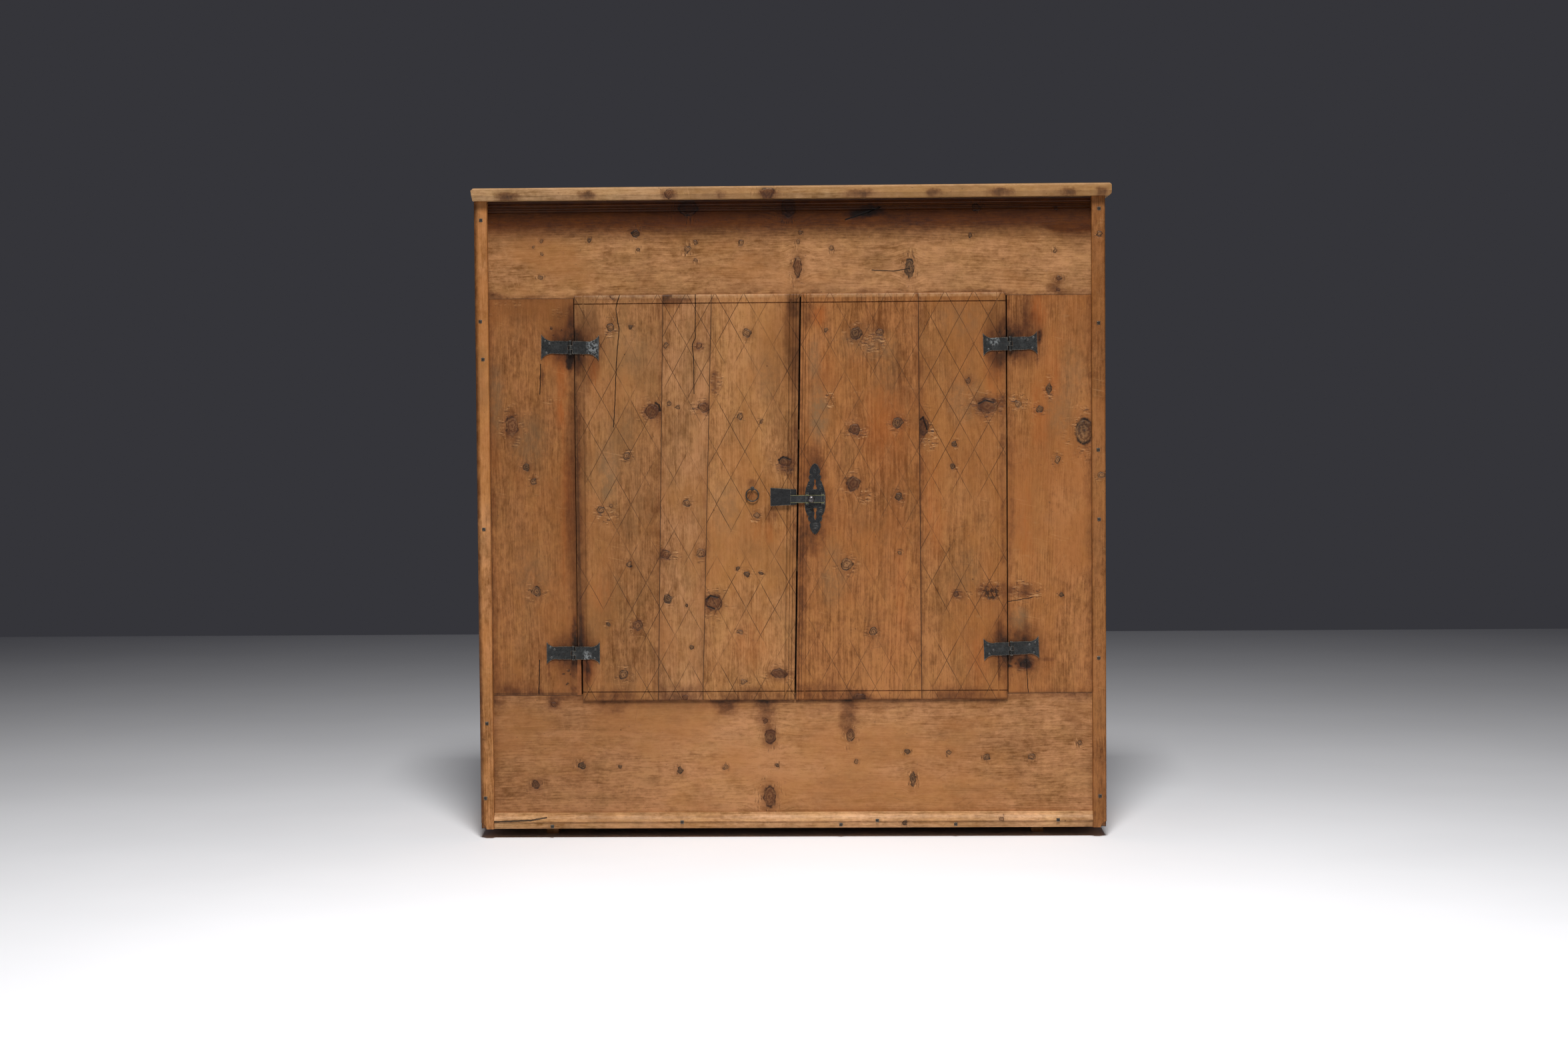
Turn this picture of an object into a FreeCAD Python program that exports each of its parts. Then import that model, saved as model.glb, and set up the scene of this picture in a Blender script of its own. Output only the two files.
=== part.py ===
import FreeCAD, Part
import os
import re
import Sketcher

# Rustic two-door pine cupboard with wrought-iron hinges, a sliding bolt and a ring pull.
# Lengths are millimetres. Outlines are drawn from the cupboard's centre line (x), the front
# plane of the stiles (y, front is minus) and the floor (z). Each piece's placement then moves
# it to the part's origin, the middle of the box's underside.

# Driving dimensions, one cell of the sheet each
SIZES = {
    # The carcase as a whole
    "carcase_width": 1277.0,
    "carcase_depth": 418.0,
    "carcase_height": 1280.0,
    "foot_height": 20.0,
    "overrun": 5.0,
    "joint_clearance": 0.2,
    # Top boards
    "top_thickness": 25.0,
    "top_overhang_front": 32.0,
    "top_overhang_left": 3.0,
    "top_overhang_right": 12.0,
    "top_front_board_depth": 235.0,
    "top_left_chamfer": 5.0,
    "top_left_slope": 3.0,
    "top_right_round": 6.0,
    "top_edge_round": 3.5,
    "top_bevel_height": 10.0,
    "top_bevel_run": 4.0,
    # Side boards and back boards
    "side_thickness": 24.0,
    "side_front_board_depth": 196.0,
    "housing_depth": 8.0,
    "back_thickness": 15.0,
    "back_board_gap": 0.2,
    # Front boards
    "front_thickness": 22.0,
    "frieze_height": 198.0,
    "frieze_reed_width": 2.4,
    "frieze_reed_depth": 1.4,
    "frieze_reed_1_drop": 6.2,
    "frieze_reed_2_drop": 13.5,
    "frieze_reed_3_drop": 17.8,
    "frieze_reed_4_drop": 23.1,
    "base_board_height": 273.5,
    "left_stile_width": 200.0,
    "right_stile_width": 197.5,
    "tenon_length": 30.0,
    "tenon_thickness": 8.0,
    "tenon_shoulder": 28.0,
    "filler_width": 8.0,
    "filler_drop": 2.0,
    # Corner strips and base moulding
    "strip_width": 27.5,
    "strip_proud": 15.0,
    "strip_wane": 9.0,
    "strip_round": 3.0,
    "strip_foot_round": 12.0,
    "moulding_height": 32.0,
    "moulding_proud": 14.0,
    "moulding_fillet_height": 4.0,
    "moulding_fillet_proud": 6.0,
    "moulding_nose_height": 12.0,
    "moulding_nose_depth": 3.0,
    "moulding_foot_proud": 7.0,
    # Bottom, shelves and runners
    "bottom_thickness": 22.0,
    "bottom_height": 265.0,
    "shelf_thickness": 20.0,
    "lower_shelf_height": 542.0,
    "upper_shelf_height": 812.0,
    "shelf_front": 42.0,
    "runner_thickness": 24.0,
    "runner_setback": 60.0,
    "runner_back_gap": 20.0,
    "left_runner_inset": 139.5,
    "right_runner_inset": 136.5,
    # Doors, as leaning outlines between the stiles. Joints are shares from the hinge side.
    "door_thickness": 22.0,
    "door_proud": 6.0,
    "door_clearance": 2.0,
    "door_lap_top": 7.0,
    "door_lap_bottom": 11.5,
    "left_door_gap": 2.0,
    "left_notch_width": 9.9,
    "left_notch_drop": 9.0,
    "left_joint_1_top_share": 0.3941,
    "left_joint_1_bottom_share": 0.3704,
    "left_joint_2_top_share": 0.6103,
    "left_joint_2_bottom_share": 0.5766,
    "meeting_line_top": 23.0,
    "meeting_line_bottom": 6.4,
    "meeting_gap": 3.0,
    "right_door_gap_top": 3.0,
    "right_door_gap_bottom": 2.0,
    "right_joint_top_share": 0.4266,
    "right_joint_bottom_share": 0.4041,
    "board_joint": 0.3,
    "bead_width": 17.0,
    "bead_round": 4.0,
    "quirk_width": 2.2,
    "quirk_depth": 2.0,
    "ledge_thickness": 18.0,
    "ledge_height": 80.0,
    "ledge_inset": 26.0,
    "ledge_chamfer": 5.0,
    # Butterfly hinges
    "hinge_thickness": 2.0,
    "hinge_waist": 26.0,
    "hinge_straight": 26.0,
    "hinge_flare_bulge_share": 0.16,
    "knuckle_radius": 3.8,
    "knuckle_clearance": 0.3,
    "leaf_setback": 1.3,
    "pin_radius": 1.8,
    "pin_clearance": 0.05,
    "pin_head_width": 4.6,
    "pin_head_height": 1.5,
    "left_pin_setback": 7.5,
    "right_pin_setback": 6.0,
    "left_upper_hinge_drop": 106.0,
    "left_upper_hinge_reach": 59.0,
    "left_upper_hinge_tips": 52.0,
    "left_upper_hinge_turn": -1.3,
    "left_lower_hinge_rise": 98.0,
    "left_lower_hinge_reach": 54.5,
    "left_lower_hinge_tips": 45.0,
    "left_lower_hinge_turn": 0.0,
    "right_upper_hinge_drop": 105.0,
    "right_upper_hinge_reach": 54.6,
    "right_upper_hinge_tips": 46.0,
    "right_upper_hinge_turn": 1.4,
    "right_lower_hinge_rise": 103.0,
    "right_lower_hinge_reach": 56.0,
    "right_lower_hinge_tips": 46.0,
    "right_lower_hinge_turn": 2.0,
    # Wrought nails
    "strip_nail_head": 7.0,
    "strip_nail_length": 32.0,
    "hinge_nail_head": 6.0,
    "hinge_nail_length": 17.0,
    "ledge_nail_head": 8.0,
    "ledge_nail_length": 34.0,
    "back_nail_length": 38.0,
    "nail_shank": 3.0,
    "nail_head_height": 1.6,
    # Sliding bolt on the right door. Its places are measured from the meeting line.
    "bolt_rise": 410.0,
    "bolt_plate_thickness": 1.5,
    "bolt_plate_inset": 35.4,
    "bolt_plate_height": 144.5,
    "bolt_plate_width": 40.5,
    "bolt_slot_width": 6.5,
    "bolt_slot_length": 24.0,
    "bolt_slot_start": 17.0,
    "bolt_bar_height": 15.5,
    "bolt_bar_thickness": 3.5,
    "bolt_clearance": 0.35,
    "bolt_tip_reach": 24.6,
    "bolt_end_reach": 54.9,
    "bolt_nose": 2.5,
    "guide_wall": 1.8,
    "guide_width": 5.8,
    "guide_foot": 3.0,
    "left_guide_inset": 16.6,
    "right_guide_inset": 48.2,
    "knob_inset": 27.6,
    "knob_neck_radius": 3.0,
    "knob_radius": 6.6,
    "knob_neck_length": 5.4,
    "knob_height": 8.6,
    # Keeper on the left door
    "keeper_left_reach": 55.1,
    "keeper_right_reach": 2.3,
    "keeper_mouth_reach": 14.2,
    "keeper_pocket_length": 15.0,
    "keeper_left_height": 37.0,
    "keeper_right_height": 30.0,
    "keeper_rise": 4.7,
    "keeper_wall": 1.5,
    # Ring pull and its eye on the left door
    "ring_reach": 92.2,
    "ring_rise": 8.8,
    "ring_radius": 12.9,
    "ring_wire_radius": 1.1,
    "eye_radius": 2.7,
    "eye_wire_radius": 1.0,
    "eye_stem_length": 14.0,
    "eye_stand_off": 0.4,
}

# Places worked out from the driving dimensions
WORKED_OUT = {
    "half_width": "carcase_width / 2",
    "top_underside": "foot_height + carcase_height",
    "top_split": "top_front_board_depth - top_overhang_front",
    "side_back": "carcase_depth - back_thickness",
    "side_inner": "half_width - side_thickness",
    "side_split": "front_thickness + side_front_board_depth",
    "housing_bottom": "side_inner + housing_depth - joint_clearance",
    "frieze_bottom": "top_underside - frieze_height",
    "base_top": "foot_height + base_board_height",
    "left_stile_edge": "half_width - left_stile_width",
    "right_stile_edge": "half_width - right_stile_width",
    "strip_edge": "half_width - strip_width",
    "tenon_front": "(front_thickness - tenon_thickness) / 2",
    "door_top": "frieze_bottom + door_lap_top",
    "door_bottom": "base_top - door_lap_bottom",
    "door_back": "door_thickness - door_proud",
    "ledge_back": "door_back + ledge_thickness",
    "left_runner_place": "half_width - left_runner_inset",
    "right_runner_place": "half_width - right_runner_inset",
    "left_door_outer": "left_stile_edge - left_door_gap",
    "left_notch_edge": "left_door_outer - left_notch_width",
    "left_notch_top": "left_lower_hinge_height - left_notch_drop",
    "left_width_top": "left_door_outer + meeting_line_top - meeting_gap / 2",
    "left_width_bottom": "left_door_outer + meeting_line_bottom - meeting_gap / 2",
    "left_joint_1_top": "left_door_outer - left_width_top * left_joint_1_top_share",
    "left_joint_1_bottom": "left_door_outer - left_width_bottom * left_joint_1_bottom_share",
    "left_joint_2_top": "left_door_outer - left_width_top * left_joint_2_top_share",
    "left_joint_2_bottom": "left_door_outer - left_width_bottom * left_joint_2_bottom_share",
    "right_door_outer_top": "right_stile_edge - right_door_gap_top",
    "right_door_outer_bottom": "right_stile_edge - right_door_gap_bottom",
    "right_width_top": "right_door_outer_top - meeting_line_top - meeting_gap / 2",
    "right_width_bottom": "right_door_outer_bottom - meeting_line_bottom - meeting_gap / 2",
    "right_joint_top": "right_door_outer_top - right_width_top * right_joint_top_share",
    "right_joint_bottom": "right_door_outer_bottom - right_width_bottom * right_joint_bottom_share",
    "left_pin_place": "left_stile_edge + left_pin_setback",
    "right_pin_place": "right_stile_edge + right_pin_setback",
    "left_upper_hinge_height": "door_top - left_upper_hinge_drop",
    "left_lower_hinge_height": "door_bottom + left_lower_hinge_rise",
    "right_upper_hinge_height": "door_top - right_upper_hinge_drop",
    "right_lower_hinge_height": "door_bottom + right_lower_hinge_rise",
    "bolt_height": "door_bottom + bolt_rise",
    "meeting_lean": "(meeting_line_top - meeting_line_bottom) / (door_top - door_bottom)",
    "meeting_at_bolt": "meeting_line_bottom + meeting_lean * bolt_rise",
    "bolt_plate_place": "meeting_at_bolt + bolt_plate_inset",
    "bolt_tip": "meeting_at_bolt - bolt_tip_reach",
    "bolt_end": "meeting_at_bolt + bolt_end_reach",
    "left_guide_place": "meeting_at_bolt + left_guide_inset",
    "right_guide_place": "meeting_at_bolt + right_guide_inset",
    "knob_place": "meeting_at_bolt + knob_inset",
    "keeper_left": "meeting_at_bolt - keeper_left_reach",
    "keeper_right": "meeting_at_bolt - keeper_right_reach",
    "keeper_mouth": "meeting_at_bolt - keeper_mouth_reach",
    "ring_place": "meeting_at_bolt - ring_reach",
    "ring_height": "bolt_height + ring_rise",
    "ledge_top_middle": "left_upper_hinge_height",
    "ledge_bottom_middle": "left_lower_hinge_height",
    "pin_depth": "(door_proud + hinge_thickness) / 2",
    "hinge_half_waist": "hinge_waist / 2",
    "knuckle_third": "hinge_waist / 6",
    "leaf_start": "knuckle_radius + leaf_setback",
    "plate_front": "door_proud + bolt_plate_thickness",
    "bar_back": "plate_front + bolt_clearance",
    "bar_front": "bar_back + bolt_bar_thickness",
    "guide_inside": "bar_front + bolt_clearance",
    "guide_half": "bolt_bar_height / 2 + bolt_clearance",
    "knob_base": "bar_front + knob_neck_length",
    "eye_depth": "door_proud + eye_stand_off + eye_radius + eye_wire_radius",
    "eye_height": "ring_height + ring_radius",
}

# Outline of the upper right quarter of the bolt plate, from its tip down to its middle, as
# shares of half the plate's width and half its height
PLATE_QUARTER_SHARES = (
    (0.32, 0.925),
    (0.50, 0.800),
    (0.50, 0.720),
    (0.65, 0.650),
    (0.58, 0.585),
    (0.76, 0.440),
    (0.97, 0.270),
)

# Profile of the knob's head from its crown to its underside, as shares of its radius and height
KNOB_SHARES = ((0.70, 0.88), (1.00, 0.46), (0.78, 0.06))

# Corners of a hammered knuckle's outline, as shares of its radius
KNUCKLE_SHARES = (
    (1, 0),
    (0.866, 0.5),
    (0.5, 0.866),
    (0, 1),
    (-0.5, 0.866),
    (-0.866, 0.5),
    (-1, 0),
    (-0.866, -0.5),
    (-0.5, -0.866),
    (0, -1),
    (0.5, -0.866),
    (0.866, -0.5),
)

# Corners of a square wire section set on edge, as shares of its radius
WIRE_SHARES = ((1, 0), (0, 1), (-1, 0), (0, -1))

# Nail places: share of the strip's width from its outer edge, share of the carcase's height
LEFT_STRIP_NAIL_SHARES = ((0.55, 0.97), (0.42, 0.81), (0.58, 0.75), (0.50, 0.48), (0.55, 0.17), (0.38, 0.05))
RIGHT_STRIP_NAIL_SHARES = ((0.45, 0.98), (0.50, 0.80), (0.55, 0.60), (0.50, 0.49), (0.55, 0.27), (0.48, 0.05))

# Nail places along the base moulding: share of the carcase's width, share of the moulding's height
MOULDING_NAIL_SHARES = (
    (0.115, 0.16),
    (0.323, 0.42),
    (0.577, 0.22),
    (0.635, 0.48),
    (0.760, 0.22),
    (0.923, 0.48),
)

# Nail places on a hinge wing: share of its reach, share of its tip height. The first two
# tables are for the wings on the stiles, the others for the wings on the doors.
FRAME_NAIL_SHARES = ((0.82, -0.20), (0.66, 0.16), (0.87, 0.26))
DOOR_NAIL_SHARES = ((0.61, -0.03), (0.84, 0.16), (0.80, -0.24))

# Nail places along a door ledge: share of its length, share of its height
LEDGE_NAIL_SHARES = ((0.08, 0.3), (0.27, 0.7), (0.47, 0.3), (0.70, 0.7), (0.93, 0.3))

# Heights of the nails in the back boards, as shares of the carcase's height
BACK_NAIL_SHARES = (0.04, 0.5, 0.96)

BACK_BOARD_COUNT = 4
SHEET_NAME = "sizes"
WORD = re.compile(r"[a-z][a-z_0-9]*")

document = FreeCAD.newDocument("Cupboard")
sheet = document.addObject("Spreadsheet::Sheet", SHEET_NAME)
for row, (size_name, size) in enumerate(SIZES.items(), start=1):
    sheet.set(f"A{row}", size_name)
    sheet.set(f"B{row}", str(size))
    sheet.setAlias(f"B{row}", size_name)
document.recompute()

pieces = []
cuts = []


def formula(text):
    """Spell a sum of named sizes as an expression on the sheet."""
    def spell(match):
        word = match.group(0)
        if word in WORKED_OUT:
            return "(" + formula(WORKED_OUT[word]) + ")"
        if word in SIZES:
            return SHEET_NAME + "." + word
        return word
    return WORD.sub(spell, text)


def number(text):
    """The present value of a sum of named sizes."""
    return float(sheet.evalExpression(formula(text)))


def bind(target, property_name, text):
    target.setExpression(property_name, formula(text))


def place(piece):
    """Move a finished piece from the drawing's zero to the part's origin."""
    bind(piece, ".Placement.Base.x", "(top_overhang_left - top_overhang_right) / 2")
    bind(piece, ".Placement.Base.y", "(top_overhang_front - carcase_depth) / 2")
    pieces.append(piece)


def new_body(label):
    body = document.addObject("PartDesign::Body", label)
    body.Label = label
    body.AllowCompound = True
    place(body)
    return body


def draw(body, plane, outlines, start, at=("0", "0"), turn="0"):
    """Draw closed outlines on a plane of the body, moved to start along the plane's axis.

    A point is (across, up) or (across, up, bulge). A bulge bends the side to the next point
    into an arc that stands out to the right of the way by that share of its chord.
    """
    sketch = body.newObject("Sketcher::SketchObject", body.Name + "_sketch")
    base = [feature for feature in body.Origin.OriginFeatures if feature.Role == plane + "_Plane"][0]
    sketch.AttachmentSupport = (base, "")
    sketch.MapMode = "FlatFace"
    lift = "-(" + start + ")" if plane == "XZ" else start
    bind(sketch, ".AttachmentOffset.Base.x", at[0])
    bind(sketch, ".AttachmentOffset.Base.y", at[1])
    bind(sketch, ".AttachmentOffset.Base.z", lift)
    if turn != "0":
        bind(sketch, ".AttachmentOffset.Rotation.Angle", turn)
    for outline in outlines:
        add_outline(sketch, outline)
    return sketch


def add_outline(sketch, outline):
    first = sketch.GeometryCount
    count = len(outline)
    spots = [FreeCAD.Vector(number(point[0]), number(point[1]), 0) for point in outline]
    for index, point in enumerate(outline):
        start = spots[index]
        end = spots[(index + 1) % count]
        if len(point) == 2:
            sketch.addGeometry(Part.LineSegment(start, end), False)
            continue
        chord = end - start
        aside = FreeCAD.Vector(chord.y, -chord.x, 0) * number(point[2])
        sketch.addGeometry(Part.ArcOfCircle(start, (start + end) / 2 + aside, end), False)
    starts = []
    for index in range(count):
        near_start = sketch.getPoint(first + index, 1).distanceToPoint(spots[index])
        near_end = sketch.getPoint(first + index, 2).distanceToPoint(spots[index])
        starts.append(1 if near_start < near_end else 2)
    for index in range(count):
        after = (index + 1) % count
        end_point = 3 - starts[index]
        joint = Sketcher.Constraint("Coincident", first + index, end_point, first + after, starts[after])
        sketch.addConstraint(joint)
    for index, point in enumerate(outline):
        corner = spots[index]
        for kind, text, along in (("DistanceX", point[0], corner.x), ("DistanceY", point[1], corner.y)):
            length = Sketcher.Constraint(kind, -1, 1, first + index, starts[index], along)
            place_number = sketch.addConstraint(length)
            bind(sketch, f"Constraints[{place_number}]", text)
        if len(point) == 3:
            bind_radius(sketch, first + index, point, outline[(index + 1) % count])


def bind_radius(sketch, curve, point, following):
    chord = f"sqrt(({following[0]} - ({point[0]}))^2 + ({following[1]} - ({point[1]}))^2)"
    radius = f"{chord} * (1 + 4 * ({point[2]})^2) / (8 * abs({point[2]}))"
    place_number = sketch.addConstraint(Sketcher.Constraint("Radius", curve, number(radius)))
    bind(sketch, f"Constraints[{place_number}]", radius)


def pad(body, plane, outlines, start, length, at=("0", "0"), turn="0", taper="0", forwards=False):
    """Add a solid that grows from start along the plane's axis, or the other way."""
    sketch = draw(body, plane, outlines, start, at, turn)
    feature = body.newObject("PartDesign::Pad", body.Name + "_pad")
    feature.Profile = sketch
    bind(feature, "Length", length)
    feature.Reversed = (plane == "XZ") != forwards
    if taper != "0":
        bind(feature, "TaperAngle", taper)
    return feature


def cut(body, plane, outlines, start, length):
    """Take away what lies between start and start plus length along the plane's axis."""
    sketch = draw(body, plane, outlines, start)
    feature = body.newObject("PartDesign::Pocket", body.Name + "_cut")
    feature.Profile = sketch
    bind(feature, "Length", length)
    feature.Reversed = plane != "XZ"
    cuts.append(feature)
    return feature


def box_outline(left, bottom, right, top):
    return ((left, bottom), (right, bottom), (right, top), (left, top))


def circle_outline(across, up, radius):
    """Four quarter arcs, with the bulge of a quarter circle."""
    quarter = "(sqrt(2) - 1) / 2"
    return (
        (f"{across} - ({radius})", up, quarter),
        (across, f"{up} - ({radius})", quarter),
        (f"{across} + ({radius})", up, quarter),
        (across, f"{up} + ({radius})", quarter),
    )


def corners(across, up, radius, shares):
    """Many-sided outline round a middle, its corners given as shares of a radius."""
    return [(f"{across} + {radius} * {x}", f"{up} + {radius} * {y}") for x, y in shares]


def board(label, left, right, bottom, top, front, thickness):
    """A plain board that faces the front."""
    body = new_body(label)
    pad(body, "XZ", [box_outline(left, bottom, right, top)], front, thickness)
    return body


# Top boards
def top_board(label, front, back):
    """Worn board end: chamfered and sloped on the left, rounded on the right."""
    left = "-half_width - top_overhang_left"
    right = "half_width + top_overhang_right"
    upper = "top_underside + top_thickness"
    outline = (
        (f"{left} + top_left_slope", "top_underside"),
        (f"{right} - top_right_round", "top_underside", "0.15"),
        (right, "top_underside + top_right_round"),
        (right, f"{upper} - top_right_round", "0.2"),
        (f"{right} - top_right_round", upper),
        (f"{left} + top_left_chamfer", upper),
        (left, f"{upper} - top_left_chamfer"),
    )
    body = new_body(label)
    pad(body, "XZ", [outline], front, f"{back} - ({front})")
    return body


def shape_top_edge(body):
    """Round the upper front edge and bevel the lower one."""
    front = "-top_overhang_front"
    upper = "top_underside + top_thickness"
    arris = (
        (f"{front} - overrun", f"{upper} - top_edge_round"),
        (front, f"{upper} - top_edge_round", "-0.2"),
        (f"{front} + top_edge_round", upper),
        (f"{front} + top_edge_round", f"{upper} + overrun"),
        (f"{front} - overrun", f"{upper} + overrun"),
    )
    bevel = (
        (f"{front} - overrun", "top_underside - overrun"),
        (f"{front} + top_bevel_run", "top_underside - overrun"),
        (f"{front} + top_bevel_run", "top_underside"),
        (front, "top_underside + top_bevel_height"),
        (f"{front} - overrun", "top_underside + top_bevel_height"),
    )
    start = "-half_width - top_overhang_left - overrun"
    length = "carcase_width + top_overhang_left + top_overhang_right + 2 * overrun"
    cut(body, "YZ", [arris, bevel], start, length)


def make_top():
    front_board = top_board("top_front_board", "-top_overhang_front", "top_split")
    shape_top_edge(front_board)
    top_board("top_rear_board", "top_split", "carcase_depth")


# Side boards, with housings for the bottom and the shelves
def side_board(label, side, front, back):
    body = new_body(label)
    outline = box_outline(front, "foot_height", back, "top_underside")
    start = "-half_width" if side == "left" else "side_inner"
    pad(body, "YZ", [outline], start, "side_thickness")
    housings = []
    for level, thickness in (
        ("bottom_height", "bottom_thickness"),
        ("lower_shelf_height", "shelf_thickness"),
        ("upper_shelf_height", "shelf_thickness"),
    ):
        low = f"{level} - joint_clearance"
        high = f"{level} + {thickness} + joint_clearance"
        housings.append(box_outline(f"{front} - overrun", low, f"{back} + overrun", high))
    start = "-side_inner - housing_depth" if side == "left" else "side_inner - overrun"
    cut(body, "YZ", housings, start, "housing_depth + overrun")


def make_sides():
    for side in ("left", "right"):
        side_board(f"{side}_side_front_board", side, "front_thickness", "side_split")
        side_board(f"{side}_side_rear_board", side, "side_split", "side_back")


# Front boards: frieze, base board and the two stiles tenoned between them
def stile_span(side):
    """Left and right edges of a stile."""
    if side == "left":
        return "-half_width", "-left_stile_edge"
    return "right_stile_edge", "half_width"


def cut_mortises(body, bottom, top):
    holes = []
    for side in ("left", "right"):
        left, right = stile_span(side)
        low_left = f"{left} + tenon_shoulder - joint_clearance"
        low_right = f"{right} - tenon_shoulder + joint_clearance"
        holes.append(box_outline(low_left, bottom, low_right, top))
    cut(body, "XZ", holes, "tenon_front - joint_clearance", "tenon_thickness + 2 * joint_clearance")


def make_frieze():
    """Frieze board with four reeds scratched under the top."""
    outline = [("0", "frieze_bottom"), ("front_thickness", "frieze_bottom")]
    outline += [("front_thickness", "top_underside"), ("0", "top_underside")]
    for reed in (1, 2, 3, 4):
        middle = f"top_underside - frieze_reed_{reed}_drop"
        outline.append(("0", f"{middle} + frieze_reed_width / 2"))
        outline.append(("frieze_reed_depth", middle))
        outline.append(("0", f"{middle} - frieze_reed_width / 2"))
    body = new_body("frieze_board")
    pad(body, "YZ", [outline], "-half_width", "carcase_width")
    cut_mortises(body, "frieze_bottom - overrun", "frieze_bottom + tenon_length + joint_clearance")


def make_base_board():
    body = board("base_board", "-half_width", "half_width", "foot_height", "base_top", "0", "front_thickness")
    cut_mortises(body, "base_top - tenon_length - joint_clearance", "base_top + overrun")


def make_stiles():
    for side in ("left", "right"):
        left, right = stile_span(side)
        body = board(f"{side}_stile", left, right, "base_top", "frieze_bottom", "0", "front_thickness")
        tenon = box_outline(
            f"{left} + tenon_shoulder",
            "base_top - tenon_length",
            f"{right} - tenon_shoulder",
            "frieze_bottom + tenon_length",
        )
        pad(body, "XZ", [tenon], "tenon_front", "tenon_thickness")


def make_filler():
    """Sliver let in beside the left stile's lower end, below the door's notch."""
    body = new_body("left_stile_filler")
    left = "-left_stile_edge"
    right = "-left_stile_edge + filler_width"
    outline = box_outline(left, "base_top", right, "left_notch_top - filler_drop")
    pad(body, "XZ", [outline], "0", "front_thickness")


# Corner strips nailed over the ends of the front boards
def make_corner_strips():
    make_corner_strip("left", "-1", "strip_wane")
    make_corner_strip("right", "1", "strip_round")


def make_corner_strip(side, way, outer_round):
    """Strip with a worn outer arris and a softened inner one, and a rounded foot."""
    outer = f"{way} * half_width"
    inner = f"{way} * strip_edge"
    section = (
        (inner, "0"),
        (outer, "0"),
        (outer, f"{outer_round} - strip_proud", f"{way} * -0.12"),
        (f"{outer} - {way} * ({outer_round})", "-strip_proud"),
        (f"{inner} + {way} * strip_round", "-strip_proud", f"{way} * -0.2"),
        (inner, "strip_round - strip_proud"),
    )
    body = new_body(f"{side}_corner_strip")
    pad(body, "XY", [section], "foot_height", "carcase_height")
    corner = (
        (f"{outer} + {way} * overrun", "foot_height - overrun"),
        (f"{outer} + {way} * overrun", "foot_height + strip_foot_round"),
        (outer, "foot_height + strip_foot_round", f"{way} * 0.2"),
        (f"{outer} - {way} * strip_foot_round", "foot_height"),
        (f"{outer} - {way} * strip_foot_round", "foot_height - overrun"),
    )
    cut(body, "XZ", [corner], "-strip_proud - overrun", "strip_proud + 2 * overrun")


def make_base_moulding():
    """Moulding with a fillet, a sloping upper face, a nose and an undercut foot."""
    low = "foot_height"
    high = "foot_height + moulding_height"
    nose_low = "foot_height + moulding_nose_height"
    section = (
        ("0", low),
        ("0", high),
        ("-moulding_fillet_proud", high),
        ("-moulding_fillet_proud", f"{high} - moulding_fillet_height", "0.1"),
        ("-moulding_proud", f"{nose_low} + moulding_nose_depth", "-0.3"),
        ("-moulding_proud + moulding_nose_depth", nose_low, "0.08"),
        ("-moulding_foot_proud", low),
    )
    body = new_body("base_moulding")
    pad(body, "YZ", [section], "-strip_edge", "2 * strip_edge")


# Bottom, shelves, back boards and runners
def flat_board(label, front, back, bottom, thickness):
    body = new_body(label)
    outline = box_outline("-housing_bottom", front, "housing_bottom", back)
    pad(body, "XY", [outline], bottom, thickness)


def make_floors():
    flat_board("bottom_front_board", "front_thickness", "side_split", "bottom_height", "bottom_thickness")
    flat_board("bottom_rear_board", "side_split", "side_back", "bottom_height", "bottom_thickness")
    flat_board("lower_shelf", "shelf_front", "side_back", "lower_shelf_height", "shelf_thickness")
    flat_board("upper_shelf", "shelf_front", "side_back", "upper_shelf_height", "shelf_thickness")


def make_back():
    for index in range(BACK_BOARD_COUNT):
        left = f"-half_width + carcase_width * {index} / {BACK_BOARD_COUNT}"
        right = f"-half_width + carcase_width * {index + 1} / {BACK_BOARD_COUNT} - back_board_gap"
        label = f"back_board_{index + 1}"
        board(label, left, right, "foot_height", "top_underside", "side_back", "back_thickness")


def make_runners():
    for side, middle in (("left", "-left_runner_place"), ("right", "right_runner_place")):
        body = new_body(f"{side}_runner")
        outline = box_outline("runner_setback", "0", "side_back - runner_back_gap", "bottom_height")
        pad(body, "YZ", [outline], f"{middle} - runner_thickness / 2", "runner_thickness")


# Doors: ledged boards with a bead and quirk round their edges. Every edge leans, so its place
# at any height comes from its places at the door's top and bottom.
def leaning(top_place, bottom_place, level):
    lean = f"(({top_place}) - ({bottom_place})) / (door_top - door_bottom)"
    return f"({bottom_place}) + {lean} * ({level} - door_bottom)"


DOOR_BOARDS = {
    "left_door_hinge_board": (
        ("-left_door_outer", "-left_door_outer"),
        ("-left_joint_1_top - board_joint / 2", "-left_joint_1_bottom - board_joint / 2"),
    ),
    "left_door_middle_board": (
        ("-left_joint_1_top + board_joint / 2", "-left_joint_1_bottom + board_joint / 2"),
        ("-left_joint_2_top - board_joint / 2", "-left_joint_2_bottom - board_joint / 2"),
    ),
    "left_door_meeting_board": (
        ("-left_joint_2_top + board_joint / 2", "-left_joint_2_bottom + board_joint / 2"),
        ("meeting_line_top - meeting_gap / 2", "meeting_line_bottom - meeting_gap / 2"),
    ),
    "right_door_meeting_board": (
        ("meeting_line_top + meeting_gap / 2", "meeting_line_bottom + meeting_gap / 2"),
        ("right_joint_top - board_joint / 2", "right_joint_bottom - board_joint / 2"),
    ),
    "right_door_hinge_board": (
        ("right_joint_top + board_joint / 2", "right_joint_bottom + board_joint / 2"),
        ("right_door_outer_top", "right_door_outer_bottom"),
    ),
}
NOTCHED_BOARD = "left_door_hinge_board"
BEADED_LEFT = ("left_door_hinge_board", "right_door_meeting_board")
BEADED_RIGHT = ("left_door_meeting_board", "right_door_hinge_board")


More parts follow.
